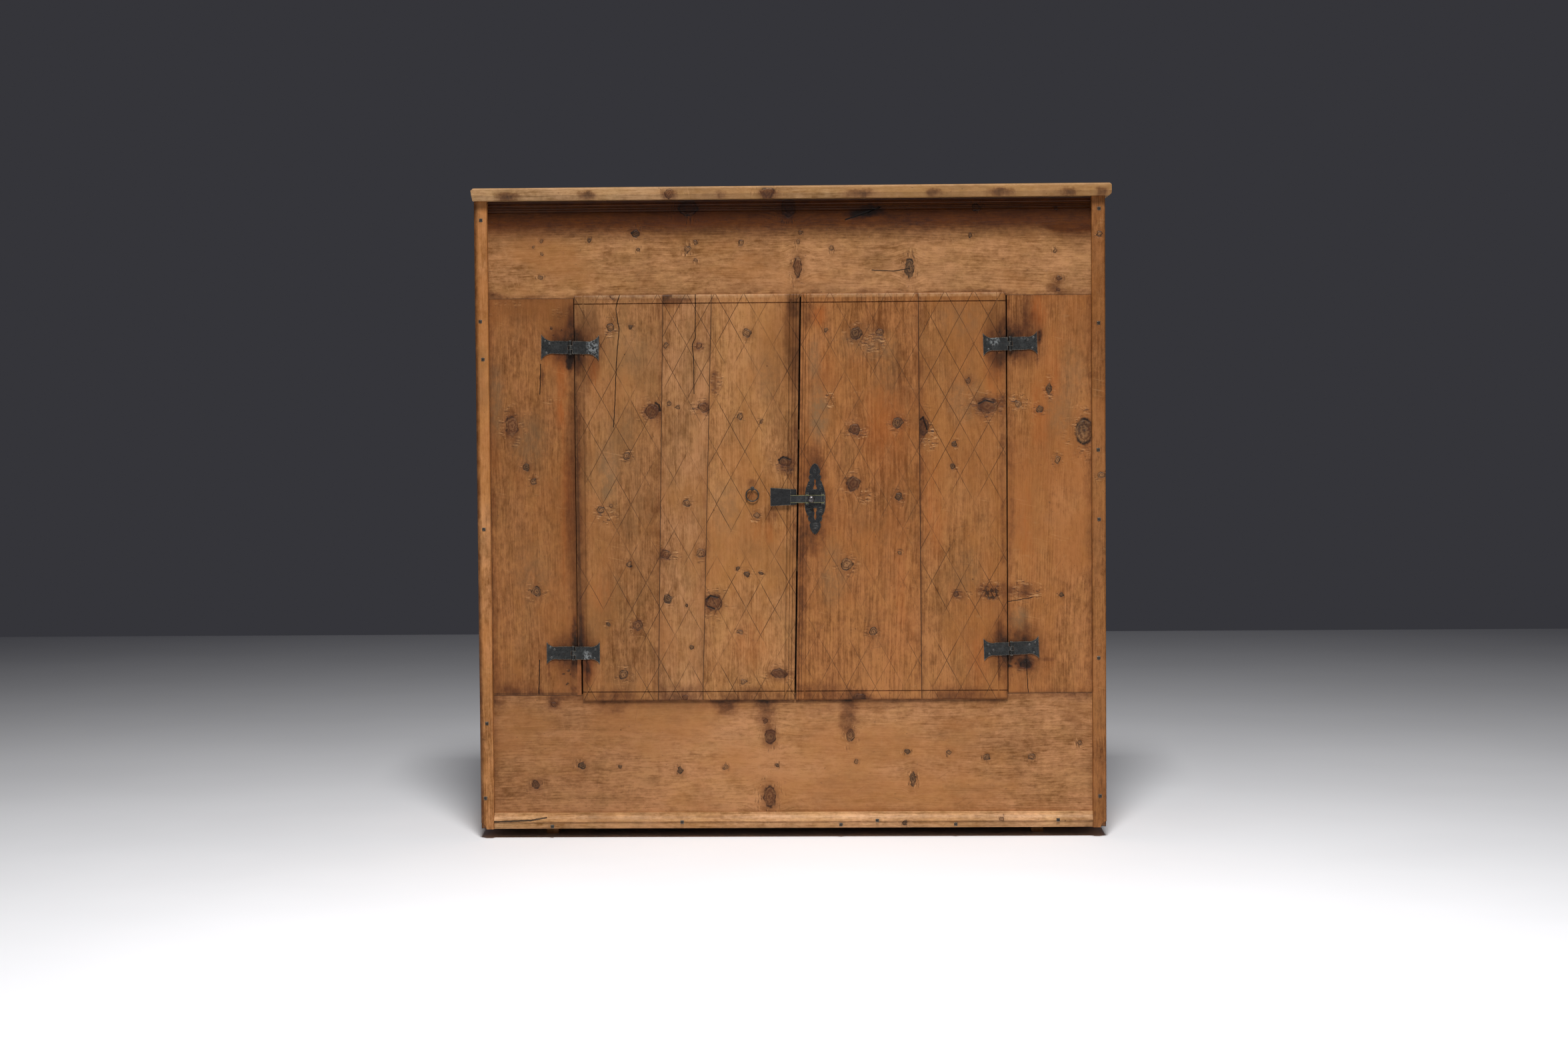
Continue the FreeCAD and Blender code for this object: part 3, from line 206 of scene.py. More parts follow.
def make_pine_group():
    tree = bpy.data.node_groups.new("old_pine", "ShaderNodeTree")
    for name, value in GROUP_INPUTS.items():
        socket = tree.interface.new_socket(name, in_out="INPUT", socket_type="NodeSocketFloat")
        socket.default_value = value
    for name in GROUP_COLOURS:
        tree.interface.new_socket(name, in_out="INPUT", socket_type="NodeSocketColor")
    for name, kind in (("colour", "Color"), ("rough", "Float"), ("normal", "Vector")):
        tree.interface.new_socket(name, in_out="OUTPUT", socket_type="NodeSocket" + kind)
    r = Recipe(tree)
    given = tree.nodes.new("NodeGroupInput").outputs
    u0, v, w, seed = given["across"], given["along"], given["depth"], given["seed"]
    nearest = given["nearest"]
    blend, less, mix, plus, slope, times = r.blend, r.less, r.mix, r.plus, r.slope, r.times
    colour = height = None

    def field(across_rate, along_rate, shift, detail=3, rough=0.55, base=u0):
        place = r.join(times(base, across_rate), times(v, along_rate), plus(seed, shift))
        return r.noise(place, 1, detail, rough)

    def lay(share, *shade):
        """Paint a share of one screen colour over the colour so far."""
        nonlocal colour
        colour = mix(share, colour, tint(*shade))

    def emboss(part, amount):
        nonlocal height
        height = blend(part, amount, height)

    # Across the grain, bent by long waves and by the knots
    u = blend(w, 0.6, u0)
    u = blend(less(field(3, 0.9, 3.1, 2), 0.5), 0.05, u)
    u = blend(less(field(26, 5, 7.7, 2), 0.5), 0.006, u)
    u = less(u, given["aside"])

    depth_wave = field(1.2, 2.1, 1.3, 2)
    sunk = plus(blend(v, given["heart_tilt"], given["heart_depth"]), times(less(depth_wave, 0.5), 0.05))
    reach = less(u, given["heart_place"])
    ring_place = r.math("SQRT", plus(times(reach, reach), times(sunk, sunk)))
    uneven = r.noise(r.join(times(ring_place, 60), seed, 0), 1, 2)
    saw = r.math("FRACT", plus(times(ring_place, given["ring_rate"]), times(uneven, 2.4)))
    ring = times(r.math("POWER", saw, 2), slope(saw, 0.86, 1, 1, 0))
    ring = times(ring, slope(field(14, 1.2, 11), 0.32, 0.7, 0.1, 1))

    fibre = r.noise(r.join(times(u, 330), times(v, 26), times(w, 300)), 1, 4, 0.68)
    crumb = field(170, 85, 113, 4, 0.66)
    streak = field(110, 4, 2, 3, 0.6, u)
    flame = field(46, 9, 13, 5, 0.68, u)
    mottle = field(13, 7, 5, 5, 0.66)
    patch = field(3.2, 2.2, 9, 3, 0.55)
    dapple = field(62, 44, 83, 6, 0.72)
    tone = times(ring, given["ring_share"])
    for part, weight in ((fibre, 1.7), (streak, 0.75), (flame, 0.65), (mottle, 1), (patch, 1.2),
                         (dapple, 1.4), (crumb, 1.15)):
        tone = blend(less(part, 0.5), weight, tone)
    tone = plus(tone, 0.36)
    colour = mix(tone, given["light"], given["dark"])
    warm = slope(field(6, 3, 17, 4, 0.62), 0.44, 0.64)
    colour = mix(times(warm, 0.65), colour, given["mid"])
    honey = slope(field(24, 12, 117, 4, 0.62), 0.4, 0.64, 0, 0.75)
    colour = mix(honey, colour, (0.97, 1, 0.91, 1), "MULTIPLY")
    dull = slope(field(17, 8, 23, 5, 0.66), 0.47, 0.66)
    lay(times(dull, times(given["grey"], 0.75)), 108, 76, 44)
    specks = slope(field(210, 120, 27, 2, 0.5), 0.7, 0.78)
    lay(times(specks, 0.35), 58, 36, 22)
    scuffs = slope(field(34, 90, 29, 4, 0.7), 0.62, 0.74)
    lay(times(scuffs, 0.22), 168, 128, 88)

    lay(times(given["reddened"], slope(flame, 0.36, 0.62, 0.2, 0.8)), 158, 84, 32)
    lay(times(given["faded"], slope(dapple, 0.36, 0.62, 0.2, 0.8)), 122, 94, 64)

    # Fine scratches every way, worm holes and small dents
    for angle, shift, weight, shade in ((0.35, 87, 0.35, (74, 46, 26)), (-0.6, 91, 0.3, (84, 54, 32)),
                                        (1.35, 95, 0.3, (196, 150, 104)), (1.75, 99, 0.25, (70, 44, 26))):
        cosine, sine = math.cos(angle), math.sin(angle)
        over = blend(u0, cosine, times(v, sine))
        up = blend(v, cosine, times(u0, -sine))
        scratch = r.noise(r.join(times(over, 620), times(up, 14), plus(seed, shift)), 1, 2, 0.5)
        where = slope(field(11, 11, shift + 2, 2), 0.5, 0.66, 0, weight)
        lay(times(where, slope(scratch, 0.66, 0.74)), *shade)
    cells = r.tree.nodes.new("ShaderNodeTexVoronoi")
    r.feed(cells.inputs["Vector"], r.join(u0, v, plus(seed, 5)))
    cells.inputs["Scale"].default_value = 21
    chosen = slope(r.split(cells.outputs["Color"])[0], 0.6, 0.64)
    bore = times(chosen, slope(cells.outputs["Distance"], 0.012, 0.028, 1, 0))
    lay(times(bore, 0.85), 34, 20, 12)

    height = times(less(fibre, 0.5), 0.14)
    emboss(less(dapple, 0.5), 0.9)
    emboss(less(crumb, 0.5), 0.35)
    emboss(less(field(21, 8, 103, 2, 0.5), 0.5), 2.6)
    emboss(bore, -1.2)
    emboss(ring, -0.1)
    emboss(less(streak, 0.5), 0.25)
    emboss(less(field(34, 30, 37, 4, 0.6), 0.5), 1)
    emboss(specks, -0.3)
    shine = plus(times(less(mottle, 0.5), 0.25), given["roughness"])

    # Torn grain: short ridges with a painted highlight on their upper sides and painted shade on their lower
    # sides
    gash = r.join(times(u0, 75), times(v, 210), plus(seed, 67))
    ridge = r.noise(gash, 1, 3, 0.55)
    ridge_above = r.noise(r.vector("ADD", gash, (0.05, 0.42, 0)), 1, 3, 0.55)
    ridge_light_and_shade = less(ridge_above, ridge)
    bare = times(given["torn"], slope(field(120, 90, 73, 3, 0.6), 0.4, 0.6, 0, 1))
    lay(times(bare, slope(ridge_light_and_shade, 0.02, 0.14, 0, 0.6)), 206, 156, 104)
    lay(times(bare, slope(ridge_light_and_shade, -0.14, -0.02, 0.85, 0)), 58, 34, 18)
    emboss(times(bare, less(ridge, 0.5)), 2.2)

    # Knots: a broken dark rim round greyer wood with a dark middle
    halo = slope(nearest, 1.05, 2.6, 1, 0)
    lay(times(halo, 0.25), 92, 50, 24)
    core = slope(nearest, 0.94, 1.06, 1, 0)
    wobble = field(230, 230, 0.7, 3, 0.6)
    circles = r.math("SINE", blend(nearest, 11, times(wobble, 9)))
    inside = mix(slope(circles, -0.9, 0.9), tint(50, 33, 22), tint(102, 74, 48))
    inside = mix(slope(nearest, 0.05, 0.4, 0.75, 0), inside, tint(30, 19, 13))
    pale = mix(slope(circles, -0.9, 0.9), tint(88, 57, 34), tint(142, 101, 64))
    inside = mix(slope(field(8, 8, 121, 1), 0.44, 0.54), inside, pale)
    colour = mix(times(core, 0.88), colour, inside)
    rim = times(slope(nearest, 0.7, 0.96), slope(nearest, 0.96, 1.2, 1, 0))
    broken = slope(field(95, 95, 4, 2), 0.36, 0.58, 0.25, 0.95)
    lay(times(rim, broken), 18, 11, 8)
    emboss(core, 0.3)
    emboss(rim, -0.6)
    # Pulled grain round the knots: ridges with a painted highlight above and painted shade below
    around = times(slope(nearest, 1.1, 1.3), slope(nearest, 1.5, 3.2, 1, 0))
    pulled = times(around, slope(field(60, 60, 79, 2), 0.48, 0.6, 0, 1))
    lay(times(pulled, slope(ridge_light_and_shade, 0.03, 0.16, 0, 0.45)), 200, 148, 98)
    lay(times(pulled, slope(ridge_light_and_shade, -0.16, -0.03, 0.7, 0)), 62, 38, 22)
    emboss(times(pulled, less(ridge, 0.5)), 1.6)

    # Grime and painted shade along the edges, soft stains and soot
    edge_wobble = field(24, 24, 31, 4, 0.62)
    border = blend(less(edge_wobble, 0.5), -0.03, given["border"])
    soft = plus(given["stain"], times(slope(border, 0, 0.02, 1, 0), given["dirt"]))
    cloud = field(44, 30, 41, 5, 0.68)
    runs = field(60, 6, 47, 4, 0.6)
    soft = times(soft, slope(cloud, 0.34, 0.62, 0.75, 1.1))
    soft = times(soft, slope(runs, 0.36, 0.62, 0.88, 1.06))
    soft = times(soft, slope(dapple, 0.36, 0.62, 0.75, 1.12))
    lay(slope(soft, 0, 0.45, 0, 0.62), 88, 44, 18)
    lay(slope(soft, 0.22, 0.95, 0, 0.9), 22, 14, 9)
    seam = times(slope(given["border"], 0.0004, 0.0017, 1, 0), given["seam"])
    lay(seam, 26, 15, 9)
    # Light strokes along upper edges: partly wear, partly a painted highlight where the edges catch light from
    # above
    rubbed = times(given["worn"], slope(dapple, 0.34, 0.62, 0, 1))
    lay(rubbed, 202, 156, 110)

    # Scratched lattice of lozenges
    scratches = []
    spots = r.join(u0, v, 0)
    for angle in (LATTICE_ANGLE, -LATTICE_ANGLE):
        way = (math.sin(angle), -math.cos(angle), 0)
        period = LATTICE_STEP * abs(way[0])
        offset = LATTICE_CROSSING[0] * way[0] + LATTICE_CROSSING[1] * way[1]
        wander = times(less(field(7, 7, 71, 2), 0.5), 0.1)
        line = plus(times(less(r.vector("DOT_PRODUCT", spots, way), offset), 1 / period), wander)
        off_line = r.math("ABSOLUTE", less(r.math("FRACT", plus(line, 0.5)), 0.5))
        scratches.append(slope(off_line, 0.004, 0.02, 1, 0))
    share = times(r.most(*scratches), slope(field(9, 9, 51), 0.36, 0.58, 0.1, 1))
    share = times(share, given["lattice"])
    lay(share, 66, 40, 22)
    emboss(share, -0.5)

    # Cracks, worm-eaten places and scratched reeds
    dark_line = slope(given["line"], 0.3, 1, 0.92, 0)
    lay(dark_line, 20, 12, 8)
    emboss(dark_line, -1.6)
    eaten = times(given["eaten"], slope(field(190, 110, 61, 3, 0.6), 0.47, 0.56))
    lay(times(eaten, 0.85), 30, 18, 12)
    emboss(eaten, -1.6)
    lay(times(given["reed"], 0.32), 48, 28, 16)
    emboss(given["reed"], -0.8)

    # Painted shade: warm darkening of the colour in the given patches, mostly where shadow falls under the
    # top's overhang, beside the door edges and below the doors
    deep = mix(1, colour, (0.21, 0.11, 0, 1), "MULTIPLY")
    colour = mix(given["shade"], colour, deep)

    last = tree.nodes.new("NodeGroupOutput")
    r.feed(last.inputs["colour"], colour)
    r.feed(last.inputs["rough"], shine)
    r.feed(last.inputs["normal"], r.bump(height))
    return tree


pine_group = make_pine_group()
# Mean radius in metres from which a knot pushes the grain aside
LARGE_KNOT = 0.0045
# Shares of a board's colour in its light, warm and dark tones: red, green, blue
PINE_TONES = ((1.34, 1.36, 1.42), (1.06, 0.92, 0.68), (0.48, 0.38, 0.2))


def near_knots(r, place, knots):
    """Least distance to a knot in radii, and how far the grain bends aside.

    Large knots push the grain, one after the other; small ones only leave their mark.
    """
    found, aside, moved = [], None, place
    for across, along, ra, rb in sorted(knots, key=lambda knot: -knot[2] * knot[3]):
        if ra * rb > LARGE_KNOT ** 2:
            away = r.sized(moved, across, along, ra, rb)
            wide = r.vector("LENGTH", r.vector("MULTIPLY", away, (0.3, 0.2, 0)))
            share = r.slope(wide, 0, 1, 0.72 * ra, 0)
            push = r.times(r.split(away)[0], share)
            aside = push if aside is None else r.plus(aside, push)
            moved = r.vector("SUBTRACT", moved, r.join(r.times(push, 0.25), 0, 0))
        else:
            away = r.sized(place, across, along, ra, rb)
        found.append(r.vector("LENGTH", away))
    return reduce(r.least, found), aside


def near_lines(r, place, lines):
    """Least distance in widths to a set of straight strokes (a0, b0, a1, b1, width)."""
    found = []
    for a0, b0, a1, b1, width in lines:
        length = math.hypot(a1 - a0, b1 - b0)
        way = ((a1 - a0) / length, (b1 - b0) / length, 0)
        away = r.vector("SUBTRACT", place, (a0, b0, 0))
        along = r.vector("DOT_PRODUCT", away, way)
        held = r.least(r.most(along, 0), length)
        foot = r.add("ShaderNodeVectorMath", {0: way, "Scale": held}, 0, operation="SCALE")
        found.append(r.times(r.vector("DISTANCE", away, foot), 1 / width))
    return reduce(r.least, found)


def summed(r, place, stains, inner=0.15):
    """Summed darkness of soft patches (a, b, ra, rb, strength)."""
    return reduce(r.plus, (
        r.slope(r.vector("LENGTH", r.sized(place, across, along, ra, rb)), inner, 1, strength, 0)
        for across, along, ra, rb, strength in stains))


def pine(red, green, blue):
    """Light, warm and dark tones about one screen colour."""
    r, g, b, _ = tint(red, green, blue)
    return [(r * x, g * y, b * z, 1) for x, y, z in PINE_TONES]


def wood(name, axes, colour, seed, heart, spacing=0.0042, knots=(), stains=(), cracks=(), edges=None, holes=(),
         torn=(), tear=1, reeds=(), rubs=(), bands=(), faded=(), reddened=(), shades=(), unfold=None,
         face=STILE_FACE, **settings):
    """A board's material: axes names the directions across and along the grain and into the board."""
    r = Surface(name)
    places = dict(zip("xyz", r.split(r.place)))
    a, b, deep = (places[axis] for axis in axes)
    if unfold is not None:
        a = r.plus(a, r.less(deep, unfold))
    drift = r.noise(r.join(a, b, seed), 90, 2, 0.5, colour=True)
    ragged = r.vector("MULTIPLY", r.vector("SUBTRACT", drift, (0.5, 0.5, 0.5)), (0.011, 0.011, 0))
    flat = r.join(a, b, 0)
    place = r.vector("ADD", flat, ragged)
    nearly = r.vector("ADD", flat, r.vector("MULTIPLY", ragged, (0.22, 0.22, 0)))
    feeds = {"across": a, "along": b, "depth": deep, "seed": seed, "ring_rate": 1 / spacing,
             **dict(zip(("heart_place", "heart_depth", "heart_tilt"), heart)),
             **dict(zip(GROUP_COLOURS, pine(*colour))), **settings}
    if knots:
        nearest, aside = near_knots(r, place, knots)
        feeds["nearest"] = nearest
        if aside is not None:
            feeds["aside"] = aside
    if stains:
        feeds["stain"] = summed(r, place, stains)
    if bands:
        feeds["stain"] = r.slope(near_lines(r, nearly, bands), 0.2, 1, 0.42, 0)
    if faded:
        feeds["faded"] = summed(r, place, faded, 0.3)
    if reddened:
        feeds["reddened"] = summed(r, place, reddened)
    # Painted shade patches, kept to the front face
    if shades:
        front = r.slope(r.less(deep, face), 0.001, 0.005, 1, 0)
        feeds["shade"] = r.times(summed(r, place, shades, 0.48), front)
    if torn:
        feeds["torn"] = summed(r, place, [(*patch, tear) for patch in torn], 0.6)
    if cracks:
        feeds["line"] = near_lines(r, nearly, cracks)
    if holes:
        feeds["eaten"] = summed(r, place, [(*hole, 1) for hole in holes], 0.55)
    if edges:
        (low_first, low_last), (high_first, high_last), low_b, high_b = edges
        share = r.times(r.less(b, low_b), 1 / (high_b - low_b))
        low_side = r.less(a, r.blend(share, low_last - low_first, low_first))
        high_side = r.less(r.blend(share, high_last - high_first, high_first), a)
        border = r.least(r.least(r.less(b, low_b), r.less(high_b, b)), r.least(low_side, high_side))
        feeds["border"] = r.most(border, r.less(deep, face))
    # Light strokes along upper edges, partly wear and partly a painted highlight
    if rubs:
        feeds["worn"] = r.slope(near_lines(r, nearly, rubs), 0.2, 1, 0.45, 0)
    if reeds:
        found = []
        for first, last, width in reeds:
            lean = (last[0] - first[0]) / (last[1] - first[1])
            middle = r.blend(r.less(b, first[1]), lean, first[0])
            found.append(r.slope(r.math("ABSOLUTE", r.less(a, middle)), width * 0.3, width, 1, 0))
        feeds["reed"] = reduce(r.most, found)
    group = r.tree.nodes.new("ShaderNodeGroup")
    group.node_tree = pine_group
    for key, value in feeds.items():
        r.feed(group.inputs[key], value)
    return r.finish(*(group.outputs[name] for name in ("colour", "rough", "normal")), Specular_IOR_Level=0.22)


def iron(name, base=(19, 20, 20), light=(74, 76, 75), rust=0.12, rub=0.35, scale=1, rough=0.46, metallic=0.35,
         painted_highlights=(), lines=()):
    """Forged iron: hammer marks, dark scale, rubbed lights, light edges that are partly wear and partly a
    painted glint, painted highlights where given, and a little rust.
    """
    r = Surface(name)

    def grain(rate, detail, rough):
        return r.noise(r.place, rate * scale, detail, rough)

    def front():
        x, _, z = r.split(r.place)
        return r.join(x, z, 0)

    hammer = r.add("ShaderNodeTexVoronoi", {"Vector": r.place, "Scale": 190 * scale}, "Distance")
    soft = grain(120, 3, 0.55)
    fine = grain(900, 3, 0.6)
    pitted = grain(330, 4, 0.65)
    rubbed = r.slope(grain(95, 4, 0.65), 0.46, 0.68)
    colour = r.mix(r.slope(fine, 0.35, 0.75, 0, 0.4), tint(*base), tint(*light))
    colour = r.mix(r.times(rubbed, rub), colour, tint(*light))
    # Painted highlights: light blotches at the given places where the leaves catch the light
    if painted_highlights:
        share = r.least(summed(r, front(), [(*patch, 1) for patch in painted_highlights], 0.4), 1)
        blotches = r.slope(grain(210, 4, 0.7), 0.44, 0.56, 0, 0.8)
        colour = r.mix(r.times(share, blotches), colour, tint(132, 135, 135))
    if lines:
        share = r.slope(near_lines(r, front(), lines), 0.4, 1, 0.8, 0)
        colour = r.mix(share, colour, tint(128, 126, 74))
    spots = r.slope(grain(160, 4, 0.65), 0.58, 0.74, 0, rust)
    colour = r.mix(spots, colour, tint(78, 44, 24))
    # Light edges all round: partly wear, partly a painted glint
    soft_normal = r.add("ShaderNodeBevel", {"Radius": 0.0012}, 0, samples=6)
    flat_normal = r.add("ShaderNodeNewGeometry", {}, "Normal")
    worn_edge_and_glint = r.slope(r.vector("DOT_PRODUCT", soft_normal, flat_normal), 0.8, 0.97, 0.8, 0)
    worn_edge_and_glint = r.times(worn_edge_and_glint, r.slope(pitted, 0.38, 0.56, 0.15, 1))
    colour = r.mix(worn_edge_and_glint, colour, tint(176, 166, 150))
    height = r.blend(hammer, 0.55, r.times(soft, 0.8))
    height = r.blend(fine, 0.12, r.blend(pitted, 0.35, height))
    shine = r.blend(r.less(soft, 0.5), 0.4, rough)
    return r.finish(colour, shine, r.bump(height), Metallic=metallic)


# What the photograph shows
def marks(points, upright=True):
    """Ellipses from photo points: a place, a radius or half width and half height, and any strength."""
    found = []
    for px, py, *sizes in points:
        x, z = spot(px, py)
        half_wide, half_high, *strength = sizes if len(sizes) > 1 else sizes * 2
        ends = (x, z, half_wide * PIXEL, half_high * PIXEL)
        found.append((*(ends if upright else (z, x, ends[3], ends[2])), *strength))
    return found


def strokes(points, upright=True):
    """Straight cracks from photo polylines: a width in pixels, then the points."""
    found = []
    for width, *way in points:
        for (x0, z0), (x1, z1) in zip([spot(*p) for p in way], [spot(*p) for p in way[1:]]):
            found.append((*((x0, z0, x1, z1) if upright else (z0, x0, z1, x1)), width * PIXEL))
    return found


def grooves(lines, upright=True):
    """Fine sunk lines from photo points: first end, last end, width in pixels."""
    found = []
    for *ends, width in lines:
        found.append((*(spot(*end)[::1 if upright else -1] for end in ends), width * PIXEL))
    return found


def board_edges(name, upright):
    """A board's outline on the front: its sides at the low and high end of the grain, and the ends."""
    low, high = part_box(name)
    if not upright:
        return (low.z, low.z), (high.z, high.z), low.x, high.x
    places = [v.co for v in nodes[name].data.vertices]
    at_low = [co.x for co in places if co.z < low.z + END_REACH]
    at_high = [co.x for co in places if co.z > high.z - END_REACH]
    return (min(at_low), min(at_high)), (max(at_low), max(at_high)), low.z, high.z


def leaning_edges(left_top, left_bottom, right_top, right_bottom):
    """A board's outline from photo points of its corners."""
    lows = (spot(*left_bottom)[0], spot(*left_top)[0])
    highs = (spot(*right_bottom)[0], spot(*right_top)[0])
    return lows, highs, spot(*left_bottom)[1], spot(*left_top)[1]


def seam(name, axis, width=0.0016):
    """A dark line along the joint at the low side of a board."""
    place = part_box(name)[0][axis]
    return place, -2, place, 2, width


def dress(name, material):
    node = nodes[name]
    if not node.material_slots:
        node.data.materials.append(material)
    for slot in node.material_slots:
        slot.material = material


def bevel(names, width):
    for name in names:
        made = nodes[name].modifiers.new("soft_edges", "BEVEL")
        made.width = width
        made.segments = 2
        made.limit_method = "ANGLE"
        made.angle_limit = math.radians(40)


def dress_boards(names, material):
    for name in names.split():
        dress(name, material)
    bevel(names.split(), BOARD_EDGE)


def board(name, colour, seed, heart, flat=False, edges=None, **looks):
    """Dress a board of the front. Its marks are photo points. The grain of a flat one runs across."""
    for key, place_marks in PHOTO_MARKS.items():
        if key in looks:
            looks[key] = place_marks(looks[key], not flat)
    if "_door_" in name:
        edges, looks["face"] = True, DOOR_FACE
    if edges:
        edges = board_edges(name, not flat) if edges is True else leaning_edges(*edges)
    dress_boards(name, wood(name.replace("_board", "") + "_wood", "zxy" if flat else "xzy", colour, seed, heart,
                            edges=edges, **looks))


# How near its end a board's width is measured, and how much its edges are rounded
END_REACH = 0.02
BOARD_EDGE = 0.0012
IRON_EDGE = 0.0005
PHOTO_MARKS = {
    **dict.fromkeys(("knots", "torn", "holes", "stains", "shades", "faded", "reddened"), marks),
    **dict.fromkeys(("cracks", "rubs", "bands"), strokes), "reeds": grooves,
}

# The boards of the front: screen colour, seed and heart of the tree, then what marks each one
# The shade patches of the boards are painted shade: under the top, beside and below the doors and round the
# hinges
board("frieze_board", (157, 111, 71), 1.7, (1.35, 0.03, 0.03), spacing=0.0048, edges=True, dirt=0.3,
    flat=True,
    knots=[(809, 362, 3), (796, 371, 2.5), (810, 382, 2.5), (881, 361, 3), (951, 351, 6), (955, 375, 3),
      (1042, 364, 3), (1030, 375, 5), (1042, 391, 2.5), (1111, 365, 4), (808, 416, 3), (1031, 313, 14, 11),
      (1182, 313, 10, 13), (1196, 401, 6, 15), (1364, 403, 6, 14), (1201, 350, 3), (1197, 364, 3),
      (1247, 374, 3.5), (1456, 354, 3), (1464, 313, 6), (1583, 315, 3), (1583, 378, 3), (1588, 419, 4),
      (1587, 436, 3)],
    stains=[(1302, 318, 44, 13, 0.8), (1285, 326, 26, 9, 0.5), (1031, 313, 22, 16, 0.4),
      (1182, 318, 16, 22, 0.4), (1196, 402, 12, 26, 0.35), (1180, 430, 200, 16, 0.18),
      (1586, 425, 22, 28, 0.3), (730, 440, 30, 14, 0.25), (1470, 440, 120, 8, 0.15)],
    # Painted shadow under the top's overhang along the frieze's upper part
    shades=[(1180, 300, 4000, 72, 1), (1615, 330, 60, 60, 0.4)],
    cracks=[(0.9, (1308, 406), (1340, 408), (1364, 404)), (1.6, (1268, 331), (1300, 320), (1320, 312))],
    reeds=[((700, y), (1670, y - 7), 1.25) for y in (306, 311.4, 315, 318.8)])
board("base_board", (157, 110, 71), 4.2, (0.4, 0.03, 0.02), spacing=0.0052, edges=True, dirt=0.3, flat=True,
    knots=[(832, 1057, 4), (874, 1149, 5), (805, 1178, 6), (932, 1151, 2.5), (1023, 1157, 5),
      (1091, 1152, 3.5), (1169, 1150, 3), (1158, 1106, 8, 11), (1157, 1197, 9, 16), (1150, 1083, 4),
      (1278, 1104, 6, 10), (1287, 1144, 3), (1363, 1129, 4), (1426, 1130, 3.5), (1482, 1138, 4.5),
      (1549, 1137, 4.5), (1621, 1116, 3.5), (1372, 1171, 4, 11)],
    stains=[(1090, 1056, 30, 34, 0.5), (1150, 1060, 26, 52, 0.5), (1275, 1075, 24, 50, 0.5),
      (920, 1060, 40, 24, 0.35), (832, 1056, 20, 20, 0.45), (1485, 1050, 40, 30, 0.3),
      (745, 1060, 26, 26, 0.3), (1157, 1197, 22, 34, 0.35), (1158, 1106, 20, 28, 0.35),
      (1180, 1048, 420, 10, 0.35), (1610, 1060, 30, 60, 0.2), (740, 1130, 18, 120, 0.22),
      (805, 1178, 18, 18, 0.3)],
    # Painted shade below the doors, and a darker patch at the left
    shades=[(800, 1120, 280, 190, 0.2), (1180, 1050, 420, 22, 0.3)])
board("left_stile", (138, 90, 50), 7.1, (-0.5, 0.03, 0.03), spacing=0.0044, tear=0.4, dirt=0.25, seam=0.4,
    edges=((730, 445), (741, 1040), (858, 445), (869, 1040)),
    knots=[(766, 638, 9, 15), (788, 700, 5), (799, 721, 4), (805, 887, 7), (853, 1005, 1.3), (847, 1011, 1.3),
      (857, 1011, 1.2), (852, 1026, 1.4), (826, 492, 1.5), (841, 494, 1.3), (828, 503, 1.2)],
    stains=[(853, 519, 60, 48, 0.62), (854, 480, 7, 34, 0.35), (853, 543, 8, 14, 0.8), (812, 566, 6, 34, 0.4),
      (858, 979, 60, 40, 0.6), (862, 945, 6, 30, 0.4), (824, 1010, 4, 28, 0.3), (860, 1020, 7, 36, 0.3),
      (780, 1030, 60, 22, 0.25), (766, 640, 18, 34, 0.35), (850, 800, 12, 200, 0.14)],
    cracks=[(0.9, (809, 545), (808, 590)), (0.9, (810, 990), (809, 1040))],
    torn=[(838, 470, 16, 12), (825, 600, 22, 8), (760, 455, 30, 8)],
    shades=[(862, 740, 20, 240, 0.5), (850, 505, 40, 60, 0.4), (852, 985, 26, 60, 0.35),
      (800, 455, 90, 40, 0.2)],
    faded=[(740, 600, 20, 90, 0.6), (790, 660, 40, 60, 0.5), (800, 860, 40, 60, 0.35)],
    reddened=[(842, 600, 16, 80, 0.8), (830, 540, 26, 40, 0.6), (850, 760, 14, 200, 0.5)])
board("right_stile", (147, 96, 54), 9.4, (0.52, 0.02, 0.03), spacing=0.0046, dirt=0.25, seam=0.4,
    edges=((1508.5, 440), (1513.6, 1040), (1637, 445), (1639.5, 1040)), ring_share=0.4,
    knots=[(1528, 607, 5), (1560, 614, 5), (1574, 584, 4, 9), (1627, 648, 13, 19), (1587, 690, 4, 6),
      (1593, 893, 3), (1541, 998, 9, 6), (1540, 986, 1.5), (1559, 499, 1.4), (1561, 511, 1.4),
      (1525, 997, 1.4)],
    stains=[(1516, 514, 62, 48, 0.66), (1541, 464, 13, 50, 0.3), (1560, 505, 6, 20, 0.5),
      (1556, 540, 4, 18, 0.4), (1541, 997, 20, 16, 0.8), (1520, 973, 60, 38, 0.6), (1541, 950, 8, 36, 0.3),
      (1515, 1001, 8, 4, 0.5), (1524, 940, 14, 30, 0.2), (1540, 886, 34, 18, 0.45),
      (1520, 720, 8, 240, 0.15), (1575, 700, 14, 200, 0.12), (1572, 990, 22, 5, 0.3)],
    torn=[(1540, 886, 34, 20), (1528, 603, 22, 18), (1574, 590, 12, 14), (1622, 640, 18, 20)],
    cracks=[(0.8, (1514, 903), (1550, 897)), (0.7, (1541, 990), (1544, 1040))],
    shades=[(1540, 500, 34, 60, 0.45), (1545, 975, 34, 60, 0.35)],
    faded=[(1530, 930, 22, 26, 0.8), (1590, 620, 30, 50, 0.5), (1610, 560, 30, 60, 0.4)],
    reddened=[(1556, 470, 20, 44, 1), (1580, 560, 16, 90, 0.5), (1560, 620, 20, 100, 0.6),
      (1540, 780, 20, 120, 0.5)])
